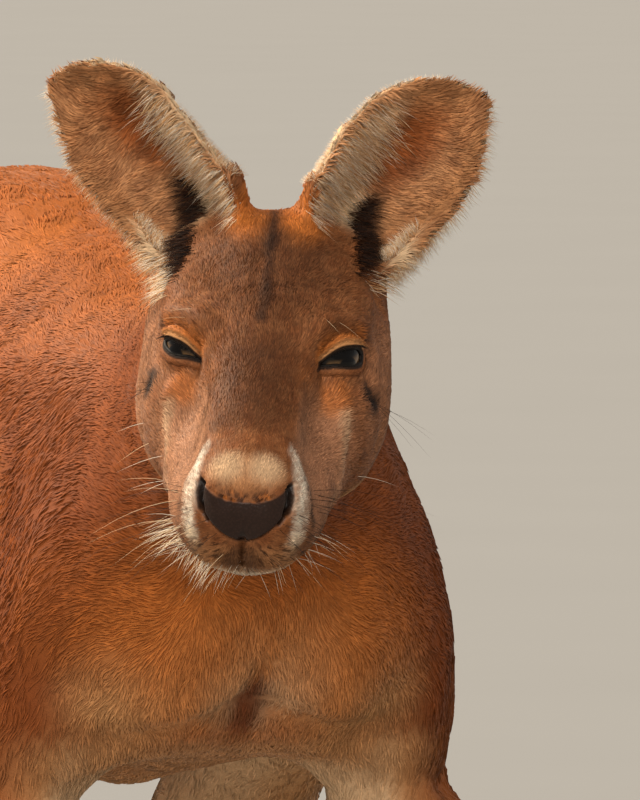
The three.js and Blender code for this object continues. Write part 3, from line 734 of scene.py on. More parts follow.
@dataclass(frozen=True)
class Markings:
    """Tells the colour of the coat at each place of the skin."""

    head: HeadFrame
    face: Face
    pigments: Pigments = Pigments()

    def paint(self, points: Array, normals: Array) -> Array:
        """The coat's colour.

        Args:
            points: Places on the skin.
            normals: The skin's directions there.

        Returns:
            A linear colour for each place.
        """
        canvas = Canvas(len(points), self.pigments.rust)
        self._body(canvas, points, normals)
        local = self.head.local(points)
        neck = np.array(place_in("neck", 0.5, 0.25, 0.6))
        behind = self.head.local(neck[None])[0, 1]
        near_head = fade(local[:, 1], behind * 0.92, behind * 0.62) * fade(local[:, 2], -112.0, -92.0)
        bust = Canvas(len(points), self.pigments.brown)
        outwards = normals @ self.head.axes().T
        self._face(bust, local)
        self._muzzle(bust, local)
        canvas.wash(bust.colours, near_head)
        self._ears(canvas, local, outwards)
        return canvas.colours

    def _body(self, canvas: Canvas, points: Array, normals: Array) -> None:
        """Colours the trunk, tail and limbs."""
        ink, wash = self.pigments, canvas.wash
        x, y, z = np.abs(points[:, 0]), points[:, 1], points[:, 2]
        front, back = (corner.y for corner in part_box("chest"))
        tail_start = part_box("tail_1")[0].y
        tail_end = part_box("tail_4")[1].y
        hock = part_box("foot_left")[1].z
        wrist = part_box("hand_left")[1].z
        wash(ink.deep_rust, fade(ripple(points, 0.11, 3), 0.0, 0.9), 0.4)
        # Painted shade: the sides of the trunk behind the chest, which face away from the light, are
        # darkened.
        painted_flank_shade = fade(normals[:, 2], 0.6, 0.1) * fade(z, 0.2, 0.3)
        painted_flank_shade *= fade(y, back - 0.2, back)
        wash(ink.deep_rust, painted_flank_shade, 0.4)
        wash(ink.orange, fade(ripple(points, 0.16, 4), 0.2, 0.9), 0.3)
        # Painted light: the upward-facing back of the trunk is made brighter orange, as if lit from above.
        top = fade(normals[:, 2], 0.35, 0.95) * fade(z, 0.3, 0.45)
        wash(ink.orange, top, 0.4)
        under = fade(normals[:, 2], 0.1, -0.75) * fade(z, 0.2, 0.28)
        under *= fade(y, front, back)
        wash(ink.buff, under, 0.8)
        both = np.column_stack([x, y, z])
        breast = Breast()
        keel = breast.keel
        shoulder = (0.1, keel[1] + 0.03, keel[2] + 0.06)
        wash(ink.deep_rust, spot(both, shoulder, (0.04, 0.14, 0.1), 1.2), 0.5)
        lobe = np.array([0.03, keel[1], keel[2] + 0.03])
        wash(ink.orange, spot(both, tuple(lobe), (0.055, 0.09, 0.055), 1.0), 0.85)
        slope = [lobe + [-0.014, 0, 0.012], lobe + [0.035, 0.02, -0.03]]
        wash(ink.buff, stroke(both, slope, 0.05, 1.0), 0.8)
        belly = fade(z, keel[2] - 0.012, keel[2] - 0.03) * fade(y, keel[1] + 0.2, keel[1] + 0.1)
        wash(ink.buff, belly * fade(x, 0.13, 0.09), 0.6)
        # Painted shade in the dip at the keel and in the groove between the breast's lobes, which the skin's
        # folds carve.
        wash(ink.deep_rust, spot(both, tuple(keel), (0.012, 0.08, 0.017), 0.9), 0.95)
        wash(ink.deep_rust, stroke(both, breast.groove(), 0.007, 1.0), 0.45)
        inner = fade(normals[:, 0] * np.sign(points[:, 0]), 0.1, -0.8) * fade(z, 0.42, 0.34)
        wash(ink.cream, inner, 0.7)
        tail = fade(y, tail_start + 0.12, tail_start + 0.62)
        wash(ink.buff, tail, 0.75)
        wash(ink.cream, fade(y, tail_end - 0.5, tail_end - 0.02), 0.5)
        legs = fade(z, 0.34, 0.16) * fade(y, tail_start + 0.34, tail_start + 0.04)
        wash(ink.buff, legs, 0.6)
        feet = fade(z, hock * 0.8, hock * 0.3) * fade(y, -0.05, -0.22) * (y > -0.4)
        wash(ink.umber, feet, 0.8)
        hands = fade(z, wrist * 1.5, wrist * 0.4) * (y < -0.5)
        wash(ink.umber, hands, 0.85)

    def _face(self, canvas: Canvas, local: Array) -> None:
        """Colours the head apart from the muzzle's tip and the ears."""
        ink, wash = self.pigments, canvas.wash
        both = on_left(local)
        x, y, z = both.T
        grizzle = ripple(local, 8.0, 11) * 0.5 + 0.5
        wash(ink.tan, grizzle, 0.22)
        wash(ink.umber, spot(both, (0, -14, 40), (38, 50, 24), 1.2), 0.62)
        wash(ink.umber, spot(both, (0, 48, 12), (20, 40, 20), 1.2), 0.4)
        bridge = fade(x, 23.0, 17.0) * fade(y, 30.0, 50.0) * fade(y, 92.0, 80.0)
        wash(ink.umber, bridge * fade(z, -14.0, -6.0), 0.4)
        plane = fade(x, 19.0, 25.0) * spot(both, (34, 66, -30), (24, 44, 34), 0.7)
        wash(ink.grey_brown, plane, 0.85)
        wash(ink.grey_brown, spot(both, (58, -20, -26), (26, 40, 34), 0.9), 0.55)
        upper_lid = [(13, 30, 6), (22, 26, 12), (34, 21, 16), (46, 6, 14)]
        wash(ink.orange, stroke(both, upper_lid, 11.0, 0.9), 0.85)
        wash(ink.orange, spot(both, (37, 28, -11), (8, 9, 8), 1.2), 0.6)
        wash(ink.orange, spot(both, (18, 36, 3), (7, 12, 8), 1.1), 0.45)
        wash(ink.orange, spot(both, (13, -62, 50), (13, 26, 14), 0.9), 0.85)
        wash(ink.umber, stroke(both, BROW, 5.0, 1.2), 0.35)
        streak = [(0, -84, 56), (0, -40, 50), (0, -10, 42), (0, 28, 30)]
        wash(ink.black, stroke(both, streak, 5.5, 1.1), 0.7)
        stripe = [(42.6, 31, -17), (43.4, 36, -27), (40.5, 49, -45), (35, 74, -54), (28, 94, -57)]
        wash(ink.cream, stroke(both, stripe, 5.0, 1.1), 0.45)
        wash(ink.buff, fade(z, -58.0, -76.0), 0.9)
        mark = [(53.5, 12, -12), (55, 10, -17), (56, 8, -22)]
        wash(ink.black, stroke(both, mark, 9.0, 0.8), 0.95)
        for side in SIDES.values():
            eye = EyePlace(self.head, side)
            along, up, away = eye.angles(local)
            near = fade(away, 26.0, 23.0) * fade(np.hypot(along, up), 88.0, 74.0)
            gap = eye.opening(along, up)
            wash(ink.buff, near * fade(-gap, 4.6, 2.8) * fade(up, 8.0, 26.0), 0.6)
            wash(ink.brown, near * fade(-gap, 6.0, 3.5) * fade(up, 2.0, -8.0), 0.7)
            # Painted shade in the crease of the upper lid.
            wash(ink.umber, near * ridge(gap, -6.6, 1.1) * fade(up, 4.0, 20.0), 0.5)
            wash(ink.black, near * fade(-gap, 1.7, 0.9), 0.96)
            corner = eye.place(np.array([-58.0, -66.0]), np.array([4.0, -2.0]), np.array([17.5, 19.5]))
            wash(ink.black, stroke(local, list(corner), 2.6, 0.8), 0.85)

    def _muzzle(self, canvas: Canvas, local: Array) -> None:
        """Colours the tip of the muzzle."""
        ink, wash = self.pigments, canvas.wash
        both = on_left(local)
        x, y, z = both.T
        wash(ink.tan, spot(both, (0, 112, -17), (18, 9, 10), 0.7), 0.85)
        wash(ink.cream, spot(both, (9, 110, -14), (9, 8, 7), 1.2), 0.55)
        top_edge = -29.0 + 9.0 * np.clip(x / self.face.pad_half, 0.0, 1.2) ** 2.2
        fringe = ridge(z, top_edge + 3.0, 3.2) * fade(x, 17.0, 11.0)
        fringe *= fade(y, 96.0, 104.0)
        wash(ink.umber, fringe * fade(ripple(local, 3.5, 23), -0.6, 0.5), 0.9)
        wash(ink.orange, fringe * fade(ripple(local, 4.5, 24), 0.2, 0.9), 0.6)
        front = both * FACE_ON
        edge = np.array(LIP_EDGE) * FACE_ON
        on_lip = fade(y, 82.0, 92.0)
        patchy = 0.72 + 0.34 * ripple(local, 4.0, 27)
        wash(ink.white, stroke(front, edge[1:5], 7.0, 0.7) * on_lip * patchy, 0.95)
        wash(ink.white, stroke(front, edge[:2], 3.4, 0.9) * on_lip * patchy, 0.8)
        wash(ink.cream, stroke(front, edge[4:], 7.0, 0.9) * on_lip * patchy, 0.6)
        wash(ink.tan, spot(both, (11, 113, -60), (13, 18, 10), 0.7), 0.85)
        wash(ink.umber, spot(both, (3, 115, -60), (8, 12, 10), 1.1), 0.75)
        rows = np.sin(x * 0.9 + z * 1.2) * np.sin(z * 0.5 - x * 0.3)
        speckle = fade(rows + ripple(local, 3.0, 21) * 0.6, 0.1, 0.8)
        wash(ink.umber, speckle * spot(both, (14, 113, -54), (12, 16, 9), 0.8), 0.85)
        ragged = fade(ripple(local, 6.0, 22), -0.9, 0.1)
        heavier = np.where(local[:, 0] > 0.0, 0.95, 0.5)
        wash(ink.black, stroke(both, LIP_SHADOW[2:4], 6.5, 0.8) * ragged * heavier, 0.95)
        wash(ink.black, stroke(both, LIP_SHADOW, 2.8, 0.9) * ragged * heavier, 0.85)
        wash(ink.white, fade(z, -66.0, -72.0) * fade(y, 60.0, 90.0), 0.7)
        wash(ink.pad, self.face.nose_pad(local))
        # Painted shade: the nostril slits, the crease under the pad's lower edge and the cleft of the lip
        # are laid black.
        opening = stroke(front, seen(NOSTRIL[:3], FACE_ON), 4.3, 0.3)
        opening = np.maximum(opening, stroke(front, seen(NOSTRIL[2:], FACE_ON), 2.6, 0.6))
        rim = ridge(z, self.face.pad_foot(x), 1.0) * fade(x, 23.5, 20.0)
        ahead = fade(y, 90.0, 104.0)
        wash(ink.black, np.maximum(opening, rim) * ahead, 0.9)
        wash(ink.black, stroke(both, PHILTRUM, 2.4, 0.8) * fade(z, -38.0, -46.0), 0.9)

    def _ears(self, canvas: Canvas, local: Array, outwards: Array) -> None:
        """Colours the ears inside and out."""
        ink = self.pigments
        for side in SIDES:
            ear = Ear(self.head, side)
            up, across, facing = ear.measure(local, outwards)
            on_ear = fade(up, -0.02, 0.1) * ear.near(local)
            inside = fade(facing, -0.1, 0.25)
            chart = ear.chart(up, across)
            coat = Canvas(len(local), ink.rust)
            wash = coat.wash
            wash(ink.brown, 1.0 - fade(facing, -0.9, -0.2), 0.5)
            wash(ink.tan, inside)
            wash(ink.brown, inside * fade(ripple(local, 12.0, 25), -0.4, 0.8), 0.35)
            warm = spot(chart, (0.54, 0.42, 0), (0.24, 0.42, 1), 1.0)
            wash(ink.rust, warm * inside, 0.9)
            wash(ink.umber, warm**2 * inside * fade(ripple(local, 16.0, 26), -0.3, 0.7), 0.35)
            band = [(0.02, 0.3, 0), (0.14, 0.46, 0), (0.3, 0.68, 0), (0.48, 0.88, 0)]
            wash(ink.cream, stroke(chart, band, 0.34, 0.8) * inside, 0.8)
            below = [(0.12, 0.26, 0), (0.0, 0.02, 0), (-0.1, -0.08, 0)]
            wash(ink.cream, stroke(chart, below, 0.22, 0.9), 0.7)
            canal = [(0.2, 0.12, 0), (0.12, -0.02, 0), (0.04, -0.22, 0), (-0.06, -0.38, 0)]
            wash(ink.black, stroke(chart, canal, 0.24, 0.8) * fade(facing, 0.2, 0.5), 0.9)
            wash(ink.cream, spot(chart, (0.02, -0.66, 0), (0.16, 0.2, 1), 1.0), 0.8)
            wash(ink.cream, fade(np.abs(facing), 0.5, 0.15) * fade(up, 0.02, 0.15), 0.85)
            canvas.wash(coat.colours, on_ear)


@dataclass(frozen=True)
class Ear:
    """Where one ear stands, in the head's own millimetres."""

    head: HeadFrame
    side: str
    half_width: float = 37.0

    def stations(self) -> tuple[Array, Array, Array]:
        """Its root, its tip, and the way that its cup opens."""
        if self.side == "left":
            return tuple(np.array(v, float) for v in ((36, -66, 38), (104, -122, 94), (0.3, 0.84, 0.45)))
        return tuple(np.array(v, float) for v in ((-36, -66, 38), (-122, -112, 92), (-0.62, 0.68, 0.42)))

    def frame(self) -> Array:
        """Up the ear, across it towards the other ear, and out of the cup, as rows."""
        root, tip, opened = self.stations()
        up = (tip - root) / np.linalg.norm(tip - root)
        out = opened - up * (opened @ up)
        out /= np.linalg.norm(out)
        return np.array([up, np.cross(out, up) * -SIDES[self.side], out])

    def measure(self, local: Array, outwards: Array) -> tuple:
        """Where places lie on the ear.

        Args:
            local: Places in the head's own millimetres.
            outwards: The skin's directions there.

        Returns:
            How far up the ear each lies, from 0 to 1; how far across it, from -1 to 1; and how
            much its skin faces out of the cup.
        """
        root, tip, _ = self.stations()
        up, across, out = self.frame()
        length = np.linalg.norm(tip - root)
        offset = local - root
        return offset @ up / length, offset @ across / self.half_width, outwards @ out

    @staticmethod
    def chart(up: Array, across: Array) -> Array:
        """Places on the ear laid flat, where spots and strokes are drawn on it."""
        return np.column_stack([up, across, across * 0.0])

    def near(self, local: Array) -> Array:
        """1 for places about this ear, and 0 for those away from it."""
        root, tip, _ = self.stations()
        away = distance_to([root + (tip - root) * 0.12, tip], local)
        behind = np.abs((local - root) @ self.frame()[2])
        here = fade(away, 52.0, 46.0) * fade(behind, 38.0, 28.0)
        return here * (np.sign(local[:, 0]) == SIDES[self.side])


# ---- the skin


@dataclass
class Skin:
    """One skin over all the flesh, inside the coat, with the face shaped on it."""

    head: HeadFrame
    face: Face
    regions: Regions
    markings: Markings
    voxel: float = 0.0025
    swell: float = 0.0006
    rounds: int = 170
    body_faces: int = 62000
    triangles: int = 188000
    socket: float = 17.4
    fine_kinds: tuple = ("head", "ear", "hand", "foot")

    def build(self, nodes: dict) -> Piece:
        """Makes the skin.

        Args:
            nodes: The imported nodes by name.

        Returns:
            The skin, with its unwrap, its colours and the coat's measures as attributes.
        """
        skin = self._joined(nodes)
        apply_modifier(skin, "REMESH", mode="VOXEL", voxel_size=self.voxel)
        self._round_off(skin)
        self._thin_out(skin)
        self._refine(skin)
        self._shape_head(skin)
        self._fold_body(skin)
        self._slim(skin)
        self._measure(skin)
        self._unwrap(skin)
        smooth(skin)
        for name in self.regions.names:
            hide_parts(name)
        return skin

    def _joined(self, nodes: dict) -> Piece:
        """Copies of the flesh, swollen until they meet, and balls that close the eyes' sockets."""
        copies = []
        for name in self.regions.names:
            copy = merged_copy(nodes[name], f"{name}_copy")
            points = points_of(copy.data) + normals_of(copy.data) * self.swell
            set_points(copy.data, points)
            copies.append(copy)
        for side in SIDES.values():
            bpy.ops.object.select_all(action="DESELECT")
            middle = self.head.world(self.head.eye(side))
            bpy.ops.mesh.primitive_uv_sphere_add(
                segments=48, ring_count=30, radius=self.socket * MM, location=middle
            )
            copies.append(bpy.context.active_object)
        select_only(*copies)
        bpy.ops.object.join()
        copies[0].name = "skin"
        copies[0].data.name = "skin"
        return copies[0]

    def _round_off(self, skin: Piece) -> None:
        """Rounds the facets off, gives back the bulk that this takes, and sinks by the coat."""
        web = Web(skin.data)
        points = points_of(skin.data)
        owners = self.regions.find(points)
        softness = web.even(self.regions.table("softness")[owners], 40, 0.5)
        depth = web.even(self.regions.table("depth")[owners] * MM + self.swell, 60, 0.5)
        rounded = web.even(points, self.rounds, 0.6 * softness)
        set_points(skin.data, rounded)
        normals = normals_of(skin.data)
        lost = np.einsum("ij,ij->i", points - rounded, normals)
        lost = web.even(lost, self.rounds // 2, 0.6 * softness)
        set_points(skin.data, rounded + normals * (lost - depth)[:, None])

    def _thin_out(self, skin: Piece) -> None:
        """Leaves large faces on the body, and small ones where the shape is fine."""
        owners = self.regions.find(points_of(skin.data))
        fine = self.regions.masks(owners, self.fine_kinds)
        group = skin.vertex_groups.new(name="coarse")
        group.add(np.flatnonzero(~fine).tolist(), 1.0, "REPLACE")
        faces = 2 * len(skin.data.polygons)
        kept = faces * fine.mean() + self.body_faces
        apply_modifier(skin, "DECIMATE", ratio=kept / faces, vertex_group="coarse")
        skin.vertex_groups.clear()

    def _refine(self, skin: Piece) -> None:
        """Divides the faces about the eyes, the nose and the mouth, and again those nearest."""
        for muzzle, about_eye in ((82.0, 92.0), (101.0, 68.0)):
            local = self.head.local(read(skin.data.polygons, "center", 3))
            chosen = (local[:, 1] > muzzle) & (local[:, 2] > -90.0)
            for side in SIDES.values():
                along, up, away = EyePlace(self.head, side).angles(local)
                chosen |= (away < 30.0) & (np.hypot(along, up) < about_eye)
            select_only(skin)
            bpy.ops.object.mode_set(mode="EDIT")
            bpy.ops.mesh.select_mode(type="FACE")
            bpy.ops.mesh.select_all(action="DESELECT")
            bpy.ops.object.mode_set(mode="OBJECT")
            skin.data.polygons.foreach_set("select", chosen)
            bpy.ops.object.mode_set(mode="EDIT")
            bpy.ops.mesh.subdivide(number_cuts=1)
            bpy.ops.object.mode_set(mode="OBJECT")

    def _shape_head(self, skin: Piece) -> None:
        """Evens the finely divided head and shapes the face on it."""
        points = points_of(skin.data)
        local = self.head.local(points)
        on_face = fade(local[:, 1], -46.0, -20.0) * (np.linalg.norm(local, axis=1) < 190.0)
        web = Web(skin.data)
        points = web.even(points, 6, 0.5 * on_face)
        set_points(skin.data, points)
        chosen = on_face > 0.0
        local = self.head.local(points[chosen])
        normals = normals_of(skin.data)[chosen] @ self.head.axes().T
        points[chosen] = self.head.world(self.face.shape(local, normals))
        set_points(skin.data, points)
        self._trim_ears(skin)

    def _trim_ears(self, skin: Piece) -> None:
        """Hollows the front edge of each ear, and runs its foot into the crown."""
        points = points_of(skin.data)
        local = self.head.local(points)
        outwards = normals_of(skin.data) @ self.head.axes().T
        for side, hollow in (("left", 0.1), ("right", 0.24)):
            ear = Ear(self.head, side)
            up, across, _ = ear.measure(local, outwards)
            _, inwards, _ = ear.frame()
            here = ear.near(local) * fade(up, 0.04, 0.14) * fade(across, 0.1, 0.8)
            waist = ridge(up, 0.38, 0.24)
            local -= inwards * (hollow * ear.half_width * waist * here)[:, None]
            foot = spot(ear.chart(up, across), (0.0, 0.7, 0.0), (0.1, 0.35, 1.0), 1.0)
            local += inwards * (4.5 * foot * ear.near(local))[:, None]
        set_points(skin.data, self.head.world(local))

    def _fold_body(self, skin: Piece) -> None:
        """Draws the soft folds of the loose hide on the trunk."""
        points = points_of(skin.data)
        normals = normals_of(skin.data)
        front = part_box("chest")[0].y
        belly_low, belly_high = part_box("abdomen")
        x, y, z = np.abs(points[:, 0]), points[:, 1], points[:, 2]
        trunk = fade(y, front + 0.08, front + 0.2) * fade(y, belly_high.y, belly_high.y - 0.1)
        trunk *= fade(z, belly_low.z - 0.06, belly_low.z + 0.04)
        slant = np.column_stack([x, y, z]) @ np.array([0.3, 0.8, 0.55])
        wander = ripple(points, 0.22, 31) * 0.03
        waves = np.sin((slant + wander) * (2 * math.pi / 0.062)) * fade(ripple(points, 0.15, 32), -0.4, 0.6)
        height = 1.6 * MM * waves * trunk
        lie = np.column_stack([points[:, 0] * 0.45, y, z * 0.45])
        height += 0.9 * MM * fade(ripple(lie, 0.016, 33), -0.2, 0.9) * trunk
        both = np.column_stack([x, y, z])
        breast = Breast()
        height -= 3.5 * MM * stroke(both, breast.groove(), 0.02, 1.0)
        height += 5.0 * MM * spot(both, tuple(breast.keel + [0.04, 0.0, 0.03]), (0.035, 0.06, 0.03), 1.2)
        height -= 6.0 * MM * stroke(both, breast.lower_edge(), 0.02, 1.0)
        height -= 4.0 * MM * spot(both, tuple(breast.keel), (0.014, 0.05, 0.018), 1.0)
        armpit = np.array(place_in("upper_arm_left", 0.2, 0.3, 0.1))
        fold = [armpit + [-0.005, -0.03, 0.05], armpit, armpit + [-0.02, 0.05, 0.03]]
        height -= 3.5 * MM * stroke(both, fold, 0.03, 1.0)
        set_points(skin.data, points + normals * height[:, None])

    def _slim(self, skin: Piece) -> None:
        """Thins the faces away from the eyes, the nose and the mouth until the skin is light enough."""
        local = self.head.local(points_of(skin.data))
        kept = (local[:, 1] > 84.0) & (local[:, 2] > -90.0)
        for side in SIDES.values():
            kept |= EyePlace(self.head, side).angles(local)[2] < 32.0
        group = skin.vertex_groups.new(name="thinned")
        group.add(np.flatnonzero(~kept).tolist(), 1.0, "REPLACE")
        corners, _ = triangles_of(skin.data)
        apply_modifier(skin, "DECIMATE", ratio=self.triangles / len(corners), vertex_group="thinned")
        skin.vertex_groups.clear()

    def _measure(self, skin: Piece) -> None:
        """Stores the colours, the bare places and the hair's length, width and lift."""
        points = points_of(skin.data)
        normals = normals_of(skin.data)
        web = Web(skin.data)
        owners = self.regions.find(points)
        local = self.head.local(points)
        for measure in ("hair", "width", "lift"):
            values = web.even(self.regions.table(measure)[owners], 8, 0.5)
            add_values(skin.data, measure, values * self._on_head(measure, local))
        add_values(skin.data, "bare", self.face.bare(local))
        add_values(skin.data, "marking", self.markings.paint(points, normals))

    def _on_head(self, measure: str, local: Array) -> Array:
        """How much shorter and finer the hair gets towards the nose, as a share."""
        near_head = np.linalg.norm(local - [0, 20, -20], axis=1) < 130.0
        ahead = fade(local[:, 1], 10.0, 112.0) * near_head
        if measure == "hair":
            for side in SIDES.values():
                eye = EyePlace(self.head, side)
                along, up, away = eye.angles(local)
                beside = fade(away, 30.0, 26.0) * fade(-eye.opening(along, up), 10.0, 2.0)
                ahead = np.maximum(ahead, 1.15 * beside)
            lips = spot(on_left(local), (0, 100, -66), (30, 36, 14), 0.8)
            return 1.0 - 0.52 * ahead + 0.5 * lips
        return 1.0 - 0.3 * ahead if measure == "width" else np.ones(len(local))

    def _unwrap(self, skin: Piece) -> None:
        """Unwraps the skin, for the places of the tufts' patches."""
        select_only(skin)
        bpy.ops.object.mode_set(mode="EDIT")
        bpy.ops.mesh.select_all(action="SELECT")
        bpy.ops.uv.smart_project(angle_limit=math.radians(66.0), island_margin=0.002)
        bpy.ops.object.mode_set(mode="OBJECT")


# ---- the coat


class Lie:
    """Which way the hair lies at each place: combed along strokes from the nose to the tail."""

    def __init__(self, head: HeadFrame) -> None:
        """Lays out the strokes.

        Args:
            head: The head's own frame.
        """
        self.starts: list[Array] = []
        self.ends: list[Array] = []
        self.head = head
        self._comb_head(head)
        self._comb_trunk()
        for side in SIDES:
            self._comb_limbs(side)
        self.starts = np.array(self.starts)
        self.ends = np.array(self.ends)

    def _stroke(self, path: list) -> None:
        """Adds a stroke along a path of world points."""
        corners = [np.array(corner, float) for corner in path]
        self.starts.extend(corners[:-1])
        self.ends.extend(corners[1:])

    def _comb_head(self, head: HeadFrame) -> None:
        """Combs the head from the nose back, and each ear from its root to its tip."""
        middle = [
            [(0, 122, -20), (0, 90, 4), (0, 50, 20), (0, 10, 36), (0, -30, 52), (0, -80, 56)],
            [(0, 116, -70), (0, 80, -84), (0, 20, -88), (0, -40, -76), (0, -90, -60)],
        ]
        paired = [
            [(8, 120, -56), (24, 108, -60), (34, 80, -56), (46, 40, -54), (58, 0, -48), (60, -50, -50)],
            [(22, 108, -28), (30, 80, -30), (38, 44, -30), (50, 12, -26), (62, -24, -20), (64, -70, -20)],
            [(18, 60, 0), (17, 34, 6), (24, 20, 18), (42, 4, 22), (54, -20, 14), (58, -60, 12)],
            [(26, 46, -12), (40, 24, -16), (54, 4, -10), (62, -22, 0)],
            [(14, 30, 28), (22, 0, 36), (28, -34, 44), (34, -62, 42)],
        ]
        for path in middle:
            self._stroke(list(head.world(path)))
        for path in paired:
            self._stroke(list(head.world(path)))
            self._stroke(list(head.world(np.array(path) * MIRROR)))
        for side in SIDES:
            ear = Ear(head, side)
            root, tip, _ = ear.stations()
            _, across, _ = ear.frame()
            for share in (-0.9, 0.0, 0.9):
                aside = across * share * ear.half_width
                path = [root + aside * 0.5, root + (tip - root) * 0.4 + aside, tip + aside * 0.4]
                self._stroke(list(head.world(path)))

    def _route(self, *stops: tuple) -> None:
        """Adds a stroke through places given as shares of the nodes' boxes."""
        self._stroke([place_in(*stop) for stop in stops])

    def _comb_trunk(self) -> None:
        """Combs the neck, the trunk and the tail from front to back."""
        self._route(
            ("neck", 0.4, 0.2, 1.0), ("chest", 0.5, 0.4, 1.0), ("abdomen", 0.5, 0.4, 1.0),
            ("abdomen", 0.5, 0.9, 0.95), ("tail_1", 0.5, 0.6, 0.6), ("tail_2", 0.5, 0.5, 0.5),
            ("tail_3", 0.5, 0.3, 0.5), ("tail_4", 0.5, 0.0, 0.5), ("tail_4", 0.5, 1.0, 0.2),
        )
        self._route(
            ("neck", 0.4, 0.2, 0.1), ("chest", 0.5, 0.0, 0.55), ("chest", 0.5, 0.12, 0.2),
            ("chest", 0.5, 0.6, 0.0), ("abdomen", 0.5, 0.4, 0.0), ("abdomen", 0.5, 0.95, 0.3),
        )
        for across in (0.0, 1.0):
            self._route(
                ("neck", across, 0.3, 0.5), ("chest", across, 0.2, 0.7), ("chest", across, 0.9, 0.5),
                ("abdomen", across, 0.5, 0.45), ("abdomen", across, 0.9, 0.5),
            )

    def _comb_limbs(self, side: str) -> None:
        """Combs an arm and a leg from the trunk to the claws."""
        arm, wrist = f"upper_arm_{side}", f"hand_{side}"
        thigh, shank, foot = f"thigh_{side}", f"shank_{side}", f"foot_{side}"
        self._route(
            (arm, 0.5, 0.3, 1.0), (arm, 0.5, 0.7, 0.1), (f"forearm_{side}", 0.5, 0.5, 0.4),
            (wrist, 0.5, 0.1, 0.8), (wrist, 0.5, 0.0, 0.1),
        )
        self._route((thigh, 0.6, 0.9, 0.95), (thigh, 0.8, 0.5, 0.5), (thigh, 0.7, 0.15, 0.1))
        self._route((shank, 0.5, 0.1, 0.95), (shank, 0.5, 0.5, 0.5), (shank, 0.5, 0.9, 0.05))
        self._route((foot, 0.4, 0.98, 0.9), (foot, 0.4, 0.7, 0.5), (foot, 0.6, 0.0, 0.1))

    def at(self, points: Array, normals: Array) -> Array:
        """The way that the hair lies.

        Args:
            points: Places on the skin.
            normals: The skin's directions there.

        Returns:
            A unit direction along the skin for each place.
        """
        total = np.zeros(points.shape)
        reach = 0.016
        for start, end in zip(self.starts, self.ends):
            along = end - start
            length = np.linalg.norm(along)
            share = np.clip((points - start) @ along / length**2, 0.0, 1.0)
            away = np.linalg.norm(points - start - share[:, None] * along, axis=1)
            total += (1.0 / (away**2 + reach**2) ** 1.5)[:, None] * (along / length)
        total = unit(total)
        local, outwards = self.head.local(points), normals @ self.head.axes().T
        for side in SIDES:
            ear = Ear(self.head, side)
            up, _, facing = ear.measure(local, outwards)
            inside = (ear.near(local) * fade(facing, 0.2, 0.5) * fade(up, 0.0, 0.12))[:, None]
            tipwards, inwards, _ = ear.frame()
            lean = 0.35 + 0.9 * fade(up, 0.6, 1.0)[:, None]
            swept = (tipwards * lean - inwards * (1.3 - lean)) @ self.head.axes()
            total += (unit(swept) - total) * inside
        total = unit(total)
        flat = total - normals * np.einsum("ij,ij->i", total, normals)[:, None]
        return unit(flat)


@dataclass(frozen=True)
class CoatPatch:
    """One piece of the coat.

    `ahead` and `above` limit a patch of the head to a range of its own millimetres.
    """

    name: str
    kinds: tuple
    tufts: int
    ahead: tuple = (-1e4, 1e4)
    above: tuple = (-1e4, 1e4)
    unevenness: float = 0.11


@dataclass
class Roots:
    """Places on the skin where hair grows.

    `points` and `normals` are in the world, `places` are on the skin's unwrap, and `sizes` holds
    the coat's measures there.
    """

    points: Array
    normals: Array
    places: Array
    sizes: dict


